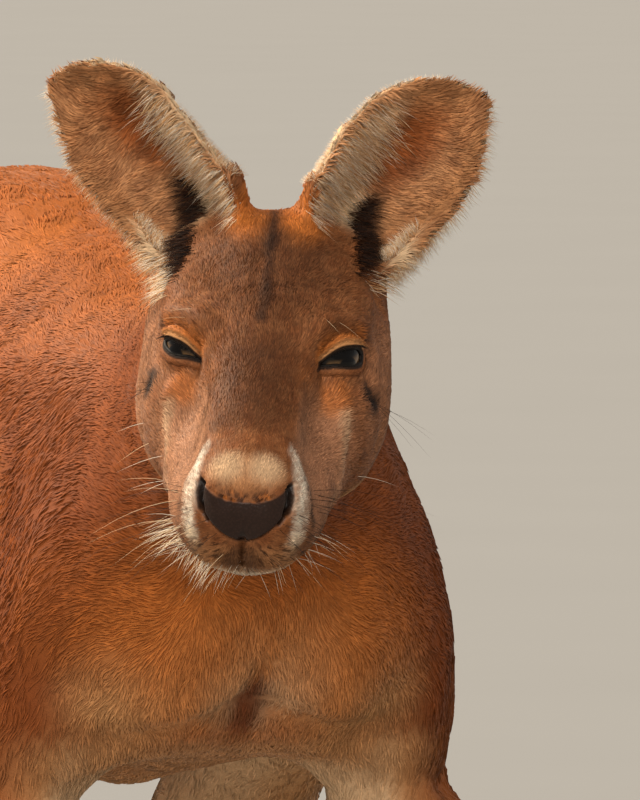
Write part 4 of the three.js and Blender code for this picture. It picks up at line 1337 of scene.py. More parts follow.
class Coat:
    """Grows tufts of hair over the skin."""

    stray_share = 0.12
    floor_gap = 0.003
    lid_edge = -2.1
    most_bare = 0.4

    def __init__(self, skin: Piece, head: HeadFrame, regions: Regions, markings: Markings) -> None:
        """Reads the skin's triangles and the coat's measures.

        Args:
            skin: The finished skin.
            head: The head's own frame.
            regions: Tells the nodes apart.
            markings: Tells the coat's colour.
        """
        mesh = skin.data
        self.head, self.markings, self.regions = head, markings, regions
        self.lie = Lie(head)
        self.corners, loops = triangles_of(mesh)
        self.points = points_of(mesh)
        self.normals = normals_of(mesh)
        stored = ("hair", "width", "lift", "bare")
        self.values = {name: read(mesh.attributes[name].data, "value", 1)[:, 0] for name in stored}
        self.unwrap = read(mesh.uv_layers[0].data, "uv", 2)[loops]
        ends = self.points[self.corners]
        crossed = np.cross(ends[:, 1] - ends[:, 0], ends[:, 2] - ends[:, 0])
        self.areas = np.linalg.norm(crossed, axis=1) / 2
        self.centres = ends.mean(axis=1)
        self.owners = regions.find(self.centres)
        self.local = head.local(self.centres)

    def _weights(self, patch: CoatPatch) -> Array:
        """How likely a tuft of the patch is to grow on each triangle."""
        chosen = self.regions.masks(self.owners, patch.kinds)
        ahead, above = self.local[:, 1], self.local[:, 2]
        chosen &= (ahead >= patch.ahead[0]) & (ahead < patch.ahead[1])
        chosen &= (above >= patch.above[0]) & (above < patch.above[1])
        bare = self.values["bare"][self.corners].mean(axis=1)
        clear_of_floor = self.centres[:, 2] > self.floor_gap
        weights = self.areas * chosen * clear_of_floor * (bare < self.most_bare)
        for side in SIDES.values():
            eye = EyePlace(self.head, side)
            along, up, away = eye.angles(self.local)
            on_lid = (away < 24.0) & (np.hypot(along, up) < 80.0)
            weights[on_lid & (eye.opening(along, up) > self.lid_edge)] = 0.0
        width = self.values["width"][self.corners].mean(axis=1)
        return weights / width**1.4

    def grow(self, patch: CoatPatch, seed: int) -> Piece:
        """Grows one piece of the coat.

        Args:
            patch: Where it grows and how many tufts it has.
            seed: Which random choices it makes.

        Returns:
            The piece, with its colours and its OFBake map.
        """
        random = np.random.default_rng(seed)
        count = patch.tufts
        roots = self.sample(self._weights(patch), count, random)
        tufts = Tufts(roots.points, roots.normals, self._tousled(roots, random))
        length = roots.sizes["hair"] * MM * random.uniform(0.7, 1.25, count)
        width = roots.sizes["width"] * MM * random.uniform(0.75, 1.2, count)
        clump = 1.0 + 0.35 * ripple(roots.points, 0.03, 41)
        lift = roots.sizes["lift"] * clump * random.uniform(0.6, 1.35, count)
        stray = random.random(count) < self.stray_share
        lift[stray] *= 2.0
        width[stray] *= 0.45
        tufts.shape(length, width, lift)
        colours = self.markings.paint(roots.points, roots.normals)
        tint = np.clip(1.0 + patch.unevenness * random.normal(size=count), 0.5, 1.6)
        tint *= 1.0 + 0.12 * ripple(roots.points, 0.012, 42)
        return tufts.piece(patch.name, colours * tint[:, None], roots.places)

    def sample(self, weights: Array, count: int, random: np.random.Generator) -> Roots:
        """Chooses places for roots.

        Args:
            weights: How likely a root is on each triangle.
            count: How many roots there are.
            random: Makes the choices.

        Returns:
            The roots.
        """
        chosen = random.choice(len(weights), count, p=weights / weights.sum())
        first, second = np.sqrt(random.random(count)), random.random(count)
        share = np.column_stack([1.0 - first, first * (1.0 - second), first * second])
        corners = self.corners[chosen]
        sizes = {name: np.einsum("ij,ij->i", share, self.values[name][corners]) for name in self.values}
        return Roots(
            np.einsum("ij,ijk->ik", share, self.points[corners]),
            unit(np.einsum("ij,ijk->ik", share, self.normals[corners])),
            np.einsum("ij,ijk->ik", share, self.unwrap[chosen]),
            sizes,
        )

    def nearest(self, points: Array) -> Array:
        """The number of the triangle whose middle is nearest to each point."""
        return np.array([np.argmin(np.linalg.norm(self.centres - point, axis=1)) for point in points])

    def _tousled(self, roots: Roots, random: np.random.Generator) -> Array:
        """The lie of the hair with small turns, alike among neighbours so that they form locks."""
        lie = self.lie.at(roots.points, roots.normals)
        aside = np.cross(roots.normals, lie)
        turn = 0.26 * ripple(roots.points, 0.022, 51) + 0.2 * ripple(roots.points, 0.07, 52)
        turn += 0.12 * random.normal(size=len(lie))
        return unit(lie * np.cos(turn)[:, None] + aside * np.sin(turn)[:, None])


@dataclass
class Tufts:
    """Many tufts, each a slim closed blade that bends along the skin."""

    roots: Array
    normals: Array
    lie: Array
    points: Array | None = None

    def shape(self, length: Array, width: Array, lift: Array) -> None:
        """Gives every tuft its root, its two shoulders and its tip.

        Args:
            length: Each tuft's length.
            width: Its width across the shoulders.
            lift: How far its tip stands out, as a share of its length.
        """
        length, width, lift = length[:, None], width[:, None], lift[:, None]
        half = np.cross(self.normals, self.lie) * width / 2.0
        rise = self.normals * (lift * length + 0.7 * width)
        root = self.roots - self.normals * width * 0.35
        shoulder = self.roots + self.lie * length * 0.4 + rise
        tip = self.roots + self.lie * length + rise * 0.8
        self.points = np.stack([root, shoulder + half, shoulder - half, tip], axis=1)
        lowest = np.array([0.1, 0.3, 0.3, 0.2]) * MM
        self.points[:, :, 2] = np.maximum(self.points[:, :, 2], lowest)

    def piece(self, name: str, shades: Array, places: Array) -> Piece:
        """Makes the tufts one mesh.

        Args:
            name: The piece's name.
            shades: The colour of each tuft.
            places: The place of each root on the skin's unwrap.

        Returns:
            The new piece.
        """
        faces = [[0, 2, 1], [1, 2, 3], [0, 1, 3], [0, 3, 2]]
        along = np.array([0.0, 0.42, 0.42, 1.0])
        patch = np.array([[0.0, -0.5], [-0.4, 0.0], [0.4, 0.0], [0.0, 0.5]])
        piece = joined_hairs(name, self.points, faces, shades, along, patch, places)
        self._soften(piece)
        return piece

    def _soften(self, piece: Piece) -> None:
        """Lets the tufts take the light as the body under them does, so that they read as one coat."""
        smooth(piece)
        own = normals_of(piece.data)
        body = np.repeat(self.normals, 4, axis=0)
        soft = unit(body * 2.2 + own * 0.45)
        piece.data.normals_split_custom_set_from_vertices(soft.astype(np.float32))


# ---- long hair


@dataclass(frozen=True)
class Growth:
    """How one kind of long hair looks: its count, lengths, width, colours, sag and disorder."""

    count: int
    shortest: float
    longest: float
    width: float
    colours: tuple
    sag: tuple = (0.0, 0.0, -0.2)
    stray: float = 0.2


class LongHair:
    """Whiskers, lashes, and the long hair of the chin, the cheeks and the ears."""

    ink = Pigments()

    def __init__(self, coat: Coat, seed: int) -> None:
        """Starts on a coat's skin.

        Args:
            coat: The coat that the long hair stands in.
            seed: Which random choices it makes.
        """
        self.coat = coat
        self.head = coat.head
        self.random = np.random.default_rng(seed)

    def _grow(self, strands: Strands, growth: Growth, weights: Array, way: Array | None) -> None:
        """Adds hairs where the weights are.

        Args:
            strands: Takes the hairs.
            growth: What they look like.
            weights: How likely a hair is on each triangle.
            way: Where they point in the head's own frame, or None to stand out from the skin.
        """
        count = growth.count
        roots = self.coat.sample(weights, count, self.random)
        ahead = roots.normals
        if way is not None:
            ahead = np.tile(np.asarray(way, float) @ self.head.axes(), (count, 1))
        ahead = unit(unit(ahead) + growth.stray * self.random.normal(size=(count, 3)))
        length = self.random.uniform(growth.shortest, growth.longest, count) * MM
        colour = np.array(growth.colours)[self.random.integers(len(growth.colours), size=count)]
        strands.add(roots, ahead, length, growth.width * MM, colour, growth.sag)

    def ears(self) -> Piece:
        """The pale fringe round each ear, and the long hair inside its front edge and at its root."""
        strands = Strands()
        coat = self.coat
        outwards = unit(coat.normals[coat.corners].mean(axis=1)) @ self.head.axes().T
        pale = (self.ink.cream, self.ink.white, self.ink.buff)
        dark = (self.ink.black, self.ink.umber)
        for side, longest in (("left", 11.0), ("right", 10.0)):
            ear = Ear(self.head, side)
            up, across, facing = ear.measure(coat.local, outwards)
            tipwards, inwards, out = ear.frame()
            here = coat.areas * (ear.near(coat.local) > 0.5) * coat.regions.masks(coat.owners, ("ear",))
            edge = here * (np.abs(facing) < 0.45) * (up > 0.04)
            self._grow(strands, Growth(2200, 5.0, longest, 0.34, pale), edge * (across < 0.0), None)
            self._grow(strands, Growth(1600, 3.0, 6.0, 0.32, pale), edge * (across >= 0.0), None)
            band = here * (facing > 0.3) * fade(across, 0.25, 0.6) * fade(up, 0.7, 0.4)
            way = out * 0.45 - inwards * 0.8 + tipwards * 0.2
            self._grow(strands, Growth(1100, 9.0, 15.0, 0.36, pale), band, way)
            chart = ear.chart(up, across)
            same_side = np.sign(coat.local[:, 0]) == SIDES[side]
            canal = coat.areas * stroke(chart, [(0.2, 0.1, 0), (0.1, -0.06, 0), (-0.03, -0.34, 0)], 0.16)
            canal *= (facing > 0.3) * same_side
            way = out * 0.5 + tipwards * 0.4 - inwards * 0.4
            self._grow(strands, Growth(700, 8.0, 15.0, 0.4, dark), canal, way)
            root = coat.areas * spot(chart, (0.02, -0.62, 0), (0.14, 0.2, 1), 0.6)
            root *= (facing > -0.2) * same_side
            way = out * 0.3 + tipwards * 0.5 - inwards * 0.7
            self._grow(strands, Growth(700, 9.0, 17.0, 0.4, pale), root, way)
        return strands.piece("hair_ears", 2)

    def jaw(self) -> Piece:
        """The long pale bristles of the chin, the lips and the cheeks."""
        strands = Strands()
        pale = (self.ink.white, self.ink.cream, self.ink.white)
        for side in SIDES.values():
            many = 1.0 if side < 0.0 else 0.16
            for count, shortest, longest, width, middle, reach, way in (
                (80, 8.0, 17.0, 0.28, (14, 92, -66), (20, 26, 10), (0.5, 0.15, -0.85)),
                (60, 9.0, 24.0, 0.28, (29, 92, -58), (10, 20, 10), (0.95, -0.1, -0.35)),
                (6, 12.0, 28.0, 0.3, (50, 20, -50), (14, 30, 16), (0.9, -0.3, -0.3)),
            ):
                flip = np.array([side, 1.0, 1.0])
                weights = self.coat.areas * spot(self.coat.local, np.array(middle) * flip, reach, 0.6)
                growth = Growth(round(count * many), shortest, longest, width, pale)
                self._grow(strands, growth, weights, np.array(way) * flip)
        return strands.piece("hair_jaw", 4)

    def whiskers(self) -> Piece:
        """The rows of whiskers on the lips, and the few on the brow and the cheek."""
        strands = Strands()
        light, dark = (self.ink.cream,), (self.ink.black,)
        for side in SIDES.values():
            for row in range(5):
                for place in range(6):
                    root = (side * (13.0 + 3.6 * place), 112.0 - 5.0 * place, -36.0 - 4.5 * row)
                    way = (side * (0.8 + 0.1 * place), 0.35 - 0.2 * place, -0.1 - 0.12 * row)
                    colours = light if (row + place) % 4 == 0 and side < 0.0 else dark
                    length = (20.0 + 3.0 * place, 30.0 + 8.0 * place)
                    growth = Growth(1, *length, 0.26, colours, (0, 0, -0.3), 0.1)
                    self._grow(strands, growth, self._near(root), way)
            for place in range(2):
                root = (side * (30.0 + 5.0 * place), 14.0, 25.0)
                self._grow(strands, Growth(1, 14.0, 20.0, 0.24, light), self._near(root), (side, 0.5, 0.1))
            cheek = self._near((side * 55, 10, -17))
            self._grow(strands, Growth(4, 24.0, 44.0, 0.24, dark), cheek, (side, 0.2, -0.4))
        return strands.piece("whiskers", 6)

    def lashes(self) -> Piece:
        """The lashes along the upper lids."""
        strands = Strands()
        count = 60
        for side in SIDES.values():
            eye = EyePlace(self.head, side)
            along = np.linspace(-40.0, 42.0, count) + self.random.normal(size=count)
            up = curve(along, LIDS[side].upper) + 3.0
            start = eye.place(along, up, np.full(count, eye.ball + eye.lid + 0.5))
            out = unit(start - self.head.eye(side))
            way = unit(out + [0, 0, 0.1] + 0.12 * self.random.normal(size=(count, 3))) @ self.head.axes()
            points = self.head.world(start)
            nearest = self.coat.nearest(points)
            roots = Roots(points, out @ self.head.axes(), self.coat.unwrap[nearest].mean(axis=1), {})
            length = self.random.uniform(5.0, 8.0, count) * MM
            shades = np.tile(np.array(self.ink.black), (count, 1))
            strands.add(roots, way, length, 0.36 * MM, shades, (0, 0, -0.6))
        return strands.piece("lashes", 4)

    def _near(self, place: tuple) -> Array:
        """Weight on the few triangles nearest to a place in the head's own millimetres."""
        away = np.linalg.norm(self.coat.local - np.array(place), axis=1)
        return (away < away.min() + 1.5) * 1.0


class Strands:
    """Long hairs, each a thin closed three-sided taper that bends as it goes."""

    root_depth = 0.0008

    def __init__(self) -> None:
        """Starts with none."""
        self.groups: list[tuple] = []

    def add(self, roots: Roots, way: Array, length: Array, width: float, shades: Array, sag: tuple) -> None:
        """Adds hairs that set out each its own way; `sag` is how their ends lean, as a share of it."""
        count = len(way)
        lean = np.tile(np.array(sag, float), (count, 1))
        self.groups.append((roots.points, roots.places, way, length, np.full(count, width), shades, lean))

    def piece(self, name: str, stations: int) -> Piece:
        """Makes all the hairs one mesh.

        Args:
            name: The piece's name.
            stations: How many rings each hair has below its tip.

        Returns:
            The new piece.
        """
        gathered = (np.concatenate(part) for part in zip(*self.groups))
        points, places, way, length, width, shades, sag = gathered
        count = len(points)
        aside = unit(np.cross(way, np.tile([0.3, 0.2, 1.0], (count, 1))))
        other = np.cross(way, aside)
        rings = []
        for station in range(stations):
            share = station / stations
            spine = points + way * (share * length - self.root_depth)[:, None]
            spine += sag * (share**2 * length)[:, None]
            radius = (width / 2.0 * (1.0 - 0.8 * share))[:, None]
            for corner in range(3):
                angle = 2.0 * math.pi * corner / 3.0
                rings.append(spine + radius * (aside * math.cos(angle) + other * math.sin(angle)))
        tip = points + way * length[:, None] + sag * length[:, None]
        faces = [[0, 2, 1]]
        for station in range(stations - 1):
            for corner in range(3):
                low, next_low = 3 * station + corner, 3 * station + (corner + 1) % 3
                faces += [[low, next_low, next_low + 3], [low, next_low + 3, low + 3]]
        last = 3 * (stations - 1)
        faces += [[last + corner, last + (corner + 1) % 3, 3 * stations] for corner in range(3)]
        along = np.append(np.repeat(np.arange(stations) / stations, 3), 1.0)
        turn = np.append(np.tile([-0.4, 0.0, 0.4], stations), 0.0)
        patch = np.column_stack([turn, along - 0.5])
        return joined_hairs(name, np.stack([*rings, tip], axis=1), faces, shades, along, patch, places)


# ---- eyes and claws


@dataclass(frozen=True)
class Eyes:
    """The two eyeballs and the wet rims of their lids."""

    head: HeadFrame
    cornea: float = 9.5
    bulge: float = 1.3

    def build(self) -> list[tuple[Piece, Piece]]:
        """Makes an eyeball and a rim for each side."""
        return [(self._ball(name, side), self._rim(name, side)) for name, side in SIDES.items()]

    def _ball(self, name: str, side: float) -> Piece:
        """An eyeball with its clear front standing a little proud."""
        eye = EyePlace(self.head, side)
        middle = self.head.world(self.head.eye(side))
        out = eye.ways()[1] @ self.head.axes()
        turn = Vector(out).to_track_quat("Z", "Y").to_euler()
        bpy.ops.object.select_all(action="DESELECT")
        bpy.ops.mesh.primitive_uv_sphere_add(
            segments=64, ring_count=40, radius=eye.ball * MM, location=middle, rotation=turn
        )
        ball = bpy.context.active_object
        ball.name = f"eyeball_{name}"
        ball.data.name = ball.name
        apply_place(ball)
        points = points_of(ball.data) - middle
        height = points @ out
        aside = np.linalg.norm(points - height[:, None] * out, axis=1) / MM
        rise = self.bulge * MM * fade(aside, self.cornea, self.cornea * 0.2) * (height > 0)
        set_points(ball.data, points + middle + out * rise[:, None])
        add_values(ball.data, "aside", np.where(height > 0, aside, 30.0))
        # Height on the ball, for the painted shade under the upper lid.
        add_values(ball.data, "above", points @ self.head.axes()[2] / MM)
        smooth(ball)
        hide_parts(f"eye_{name}")
        return ball

    def _rim(self, name: str, side: float) -> Piece:
        """The dark wet edge of the lids: a thin ring that follows the slit."""
        eye = EyePlace(self.head, side)
        around, section = 96, 8
        margin = eye.margin(around)
        spine = eye.place(margin[:, 0], margin[:, 1], np.full(around, eye.ball + 0.35))
        out = unit(spine - self.head.eye(side))
        along = unit(np.roll(spine, -1, axis=0) - np.roll(spine, 1, axis=0))
        aside = np.cross(out, along)
        from_inner, from_outer = margin[:, 0] - margin[:, 0].min(), margin[:, 0].max() - margin[:, 0]
        below = np.arange(around) > around // 2
        radius = 0.8 + 0.35 * below * fade(from_inner, 12.0, 50.0) + 0.3 * np.exp(-from_outer / 8.0)
        rings = []
        for step in range(section):
            angle = 2.0 * math.pi * step / section
            rings.append(spine + radius[:, None] * (out * math.cos(angle) + aside * math.sin(angle)))
        points = self.head.world(np.stack(rings, axis=1).reshape(-1, 3))
        faces = []
        for ring in range(around):
            for step in range(section):
                here, beside = ring * section + step, ring * section + (step + 1) % section
                ahead = (ring + 1) % around * section + step
                across = (ring + 1) % around * section + (step + 1) % section
                faces += [[here, ahead, across], [here, across, beside]]
        rim = piece_from_arrays(f"lid_rim_{name}", points, np.array(faces))
        face_outwards(rim)
        smooth(rim)
        return rim


def face_outwards(piece: Piece) -> None:
    """Turns the faces of a closed piece so that they all point out."""
    select_only(piece)
    bpy.ops.object.mode_set(mode="EDIT")
    bpy.ops.mesh.select_all(action="SELECT")
    bpy.ops.mesh.normals_make_consistent(inside=False)
    bpy.ops.object.mode_set(mode="OBJECT")


@dataclass(frozen=True)
class Claws:
    """The claws of the hands and feet, rounded from their solids."""

    levels: int = 2
    sunk: float = 7.0

    def build(self, nodes: dict) -> list[Piece]:
        """Makes one piece of the claws of each hand and foot.

        Args:
            nodes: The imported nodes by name.

        Returns:
            The four pieces.
        """
        made = []
        for side in SIDES:
            claws = [name for name in sorted(nodes) if name.startswith("claw") and name.endswith(side)]
            for limb in ("hand", "foot"):
                members = [name for name in claws if ("finger" in name) == (limb == "hand")]
                made.append(self._piece(nodes, members, f"{limb}_{side}"))
        return made

    def _piece(self, nodes: dict, members: list[str], limb: str) -> Piece:
        """Rounds one limb's claws and joins them."""
        low, high = (np.array(corner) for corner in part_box(limb))
        copies = [merged_copy(nodes[name], f"{name}_copy") for name in members]
        for copy in copies:
            self._sink_root(copy, (low + high) / 2.0)
        select_only(*copies)
        bpy.ops.object.join()
        piece = copies[0]
        piece.name = f"claws_{limb}"
        piece.data.name = piece.name
        apply_modifier(piece, "SUBSURF", levels=self.levels)
        smooth(piece)
        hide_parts(*members)
        return piece

    def _sink_root(self, claw: Piece, middle: Array) -> None:
        """Lengthens a claw's root into the digit, so that rounding leaves no gap there.

        Args:
            claw: The claw.
            middle: The middle of its hand or foot.
        """
        points = points_of(claw.data)
        tip = points[np.argmax(np.linalg.norm(points - middle, axis=1))]
        from_tip = np.linalg.norm(points - tip, axis=1)
        root = from_tip > 0.8 * from_tip.max()
        way = unit((points[root].mean(axis=0) - tip)[None])[0]
        points[root] += way * self.sunk * MM
        set_points(claw.data, points)


# ---- shader kit


class Wire:
    """A value on its way between shader nodes; sums with it make the nodes that work them out."""

    def __init__(self, kit: NodeKit, socket: bpy.types.NodeSocket) -> None:
        """Wraps an output socket."""
        self.kit = kit
        self.socket = socket

    def _sum(self, operation: str, one: object, other: object) -> Wire:
        """A new value worked out from two."""
        node = self.kit.node("ShaderNodeMath", {"operation": operation}, {0: one, 1: other})
        return self.kit.wire(node)

    def __add__(self, other: Wire | float) -> Wire:
        """This value plus another."""
        return self._sum("ADD", self, other)

    def __sub__(self, other: Wire | float) -> Wire:
        """This value less another."""
        return self._sum("SUBTRACT", self, other)

    def __rsub__(self, other: float) -> Wire:
        """Another value less this one."""
        return self._sum("SUBTRACT", other, self)

    def __mul__(self, other: Wire | float) -> Wire:
        """This value times another."""
        return self._sum("MULTIPLY", self, other)

    __radd__ = __add__
    __rmul__ = __mul__


class NodeKit:
    """Builds one material out of nodes."""

    def __init__(self, name: str) -> None:
        """Starts an empty material.

        Args:
            name: The material's name.
        """
        self.material = bpy.data.materials.new(name)
        self.material.use_nodes = True
        self.tree = self.material.node_tree
        self.tree.nodes.clear()

    def node(self, kind: str, settings: dict | None = None, inputs: dict | None = None) -> bpy.types.Node:
        """Adds a node.

        Args:
            kind: The node's type.
            settings: Its own properties, set first.
            inputs: Values or wires for its inputs, by name or number.

        Returns:
            The new node.
        """
        made = self.tree.nodes.new(kind)
        for name, value in (settings or {}).items():
            setattr(made, name, value)
        for key, value in (inputs or {}).items():
            if isinstance(value, Wire):
                self.tree.links.new(value.socket, made.inputs[key])
            else:
                made.inputs[key].default_value = value
        return made

    def wire(self, node: bpy.types.Node, output: int | str = 0) -> Wire:
        """An output of a node."""
        return Wire(self, node.outputs[output])

    def place(self) -> Wire:
        """The place on the object, in its own metres."""
        return self.wire(self.node("ShaderNodeTexCoord"), "Object")

    def stored(self, name: str) -> Wire:
        """A number stored in the mesh."""
        return self.wire(self.node("ShaderNodeAttribute", {"attribute_name": name}), "Fac")

    def stored_colour(self, name: str) -> Wire:
        """A colour stored in the mesh."""
        return self.wire(self.node("ShaderNodeAttribute", {"attribute_name": name}), "Color")

    def noise(self, place: Wire, scale: float, detail: float = 2.0) -> Wire:
        """Smooth noise from 0 to 1, with so many bumps per metre and finer layers."""
        inputs = {"Vector": place, "Scale": scale, "Detail": detail}
        return self.wire(self.node("ShaderNodeTexNoise", None, inputs))

    def cells(self, place: Wire, scale: float) -> Wire:
        """The distance from the middle of the nearest of many scattered cells."""
        return self.wire(self.node("ShaderNodeTexVoronoi", None, {"Vector": place, "Scale": scale}))

    def between(self, value: Wire, low: float, high: float) -> Wire:
        """0 below low, 1 above high, and a smooth step between."""
        settings = {"interpolation_type": "SMOOTHSTEP"}
        inputs = {"Value": value, "From Min": low, "From Max": high}
        return self.wire(self.node("ShaderNodeMapRange", settings, inputs))

    def mix(self, share: Wire | float, low: Wire | tuple, high: Wire | tuple) -> Wire:
        """A blend of two colours: the first at a share of 0, and the second at 1."""
        inputs = {0: share, 6: self._colour(low), 7: self._colour(high)}
        return self.wire(self.node("ShaderNodeMix", {"data_type": "RGBA"}, inputs), 2)

    def shade(self, colour: Wire, amount: Wire | float) -> Wire:
        """A colour made lighter or darker."""
        return self.wire(self.node("ShaderNodeVectorMath", {"operation": "SCALE"}, {0: colour, 3: amount}))

    def bump(self, height: Wire, depth: float, strength: float = 1.0) -> Wire:
        """The surface's direction with small relief, so many metres deep."""
        inputs = {"Height": height, "Distance": depth, "Strength": strength}
        return self.wire(self.node("ShaderNodeBump", None, inputs))

    def surface(self, **inputs: object) -> bpy.types.Material:
        """Ends the material with one surface.

        Args:
            **inputs: The surface's inputs, with underscores for spaces.

        Returns:
            The finished material.
        """
        named = {name.replace("_", " "): value for name, value in inputs.items()}
        shader = self.node("ShaderNodeBsdfPrincipled", None, named)
        self.node("ShaderNodeOutputMaterial", None, {"Surface": self.wire(shader)})
        return self.material

    def _colour(self, value: Wire | tuple) -> Wire | tuple:
        """A colour with its fourth number."""
        return (*value, 1.0) if isinstance(value, tuple) and len(value) == 3 else value


# ---- finishes


@dataclass(frozen=True)
class Hair:
    """The coat: the markings, darker at the roots from the underfur and painted shade among the hairs, with
    light caught on the tips.
    """

    root_shade: float = 0.9
    tip_shade: float = 1.05
    roughness: float = 0.66

    def make(self) -> bpy.types.Material:
        """Makes the finish."""
        kit = NodeKit("hair")
        along = kit.stored("along")
        # Darker at the roots: partly the underfur's own tone, partly painted shade among the hairs.
        shade = self.root_shade + (self.tip_shade - self.root_shade) * kit.between(along, 0.0, 0.8)
        colour = kit.shade(kit.stored_colour("marking"), shade)
        rough = self.roughness - 0.12 * along
        return kit.surface(Base_Color=colour, Roughness=rough, Specular_IOR_Level=0.2)


@dataclass(frozen=True)
class Hide:
    """The skin under the coat, with short flat fur as relief and the bare pebbled nose."""

    shade: float = 0.92
    fur_scale: float = 900.0
    pebbles: float = 780.0

    def make(self) -> bpy.types.Material:
        """Makes the finish."""
        kit = NodeKit("hide")
        place = kit.place()
        bare = kit.stored("bare")
        marking = kit.stored_colour("marking")
        fur = kit.noise(place, self.fur_scale, 3.0)
        furred = kit.shade(marking, self.shade * (0.7 + 0.6 * fur))
        pebble = kit.between(kit.cells(place, self.pebbles), 0.0, 0.75)
        damp = kit.noise(place, 130.0, 2.0)
        # Painted shade: the pad is darker in the creases between its pebbles than on their tops.
        pad = kit.shade(marking, 1.15 - 0.35 * pebble)
        colour = kit.mix(bare, furred, pad)
        rough = 0.72 - bare * (0.34 + 0.14 * damp)
        relief = fur * (1.0 - bare) + 0.3 * (1.0 - pebble) * bare
        normal = kit.bump(relief, 0.0005, 0.7)
        return kit.surface(Base_Color=colour, Roughness=rough, Specular_IOR_Level=0.2, Normal=normal)


@dataclass(frozen=True)
class EyeGlass:
    """A dark wet eye: a black pupil in a deep brown iris, with a dusky white at the edge and painted shade
    under the upper lid.
    """

    pupil: float = 5.2
    iris: float = 11.5

    def make(self) -> bpy.types.Material:
        """Makes the finish."""
        kit = NodeKit("eye")
        aside = kit.stored("aside")
        fibres = kit.noise(kit.place(), 1500.0, 2.0)
        brown = kit.mix(fibres, (0.075, 0.040, 0.016), (0.19, 0.105, 0.043))
        ringed = kit.mix(kit.between(aside, self.iris - 2.0, self.iris), brown, (0.006, 0.004, 0.003))
        colour = kit.mix(kit.between(aside, self.pupil, self.pupil + 1.2), (0.002, 0.0015, 0.0015), ringed)
        white = kit.mix(kit.between(aside, self.iris + 1.5, self.iris + 3.5), colour, (0.05, 0.03, 0.02))
        # Painted shade: the upper part of the eyeball, under the lid, is darkened.
        painted_lid_shade_colour = kit.mix(kit.between(kit.stored("above"), 2.5, 5.5), white, (0.003, 0.002, 0.0015))
        return kit.surface(Base_Color=painted_lid_shade_colour, Roughness=0.05, Specular_IOR_Level=0.22)


@dataclass(frozen=True)
class LidRim:
    """The bare black edge of the lids, damp beside the eye."""

    def make(self) -> bpy.types.Material:
        """Makes the finish."""
        kit = NodeKit("lid_rim")
        grain = kit.noise(kit.place(), 1800.0, 2.0)
        colour = kit.mix(grain, (0.003, 0.002, 0.0015), (0.012, 0.008, 0.006))
        rough, normal = 0.42 + 0.2 * grain, kit.bump(grain, 0.0002, 0.6)
        return kit.surface(Base_Color=colour, Roughness=rough, Specular_IOR_Level=0.15, Normal=normal)


@dataclass(frozen=True)
class Horn:
    """Claw: dark horn with fine growth lines, worn paler in patches."""

    def make(self) -> bpy.types.Material:
        """Makes the finish."""
        kit = NodeKit("horn")
        place = kit.place()
        grain = kit.noise(place, 420.0, 4.0)
        worn = kit.between(kit.noise(place, 60.0, 3.0), 0.4, 0.75)
        dark = kit.mix(grain, (0.012, 0.009, 0.008), (0.05, 0.036, 0.028))
        colour = kit.mix(worn, dark, (0.11, 0.08, 0.06))
        rough, normal = 0.3 + 0.3 * grain, kit.bump(grain, 0.0005, 0.6)
        return kit.surface(Base_Color=colour, Roughness=rough, Normal=normal)


@dataclass(frozen=True)
class Floor:
    """The pale plain floor."""

    colour: tuple = (0.30, 0.293, 0.284)

    def make(self) -> bpy.types.Material:
        """Makes the finish."""
        kit = NodeKit("floor")
        grain = kit.noise(kit.place(), 3.0, 3.0)
        pale = kit.mix(grain, self.colour, tuple(1.05 * part for part in self.colour))
        return kit.surface(Base_Color=pale, Roughness=0.75)


class Finish(Enum):
    """The finishes of the model."""

    HAIR = Hair()
    HIDE = Hide()
    EYE = EyeGlass()
    RIM = LidRim()
    HORN = Horn()
    FLOOR = Floor()


class Palette:
    """Makes each finish once and puts it on pieces."""

    def __init__(self) -> None:
        """Starts with none made."""
        self.made: dict[Finish, bpy.types.Material] = {}

    def put(self, finish: Finish, piece: Piece) -> None:
        """Puts a finish on a piece."""
        if finish not in self.made:
            self.made[finish] = finish.value.make()
        piece.data.materials.clear()
        piece.data.materials.append(self.made[finish])

    def dress(self, finish: Finish, piece: Piece) -> None:
        """Puts a finish on a piece of the animal and the body that it rides on."""
        self.put(finish, piece)
        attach(piece, BODY)
        LOG.info("%s: %d faces", piece.name, len(piece.data.polygons))


# ---- studio


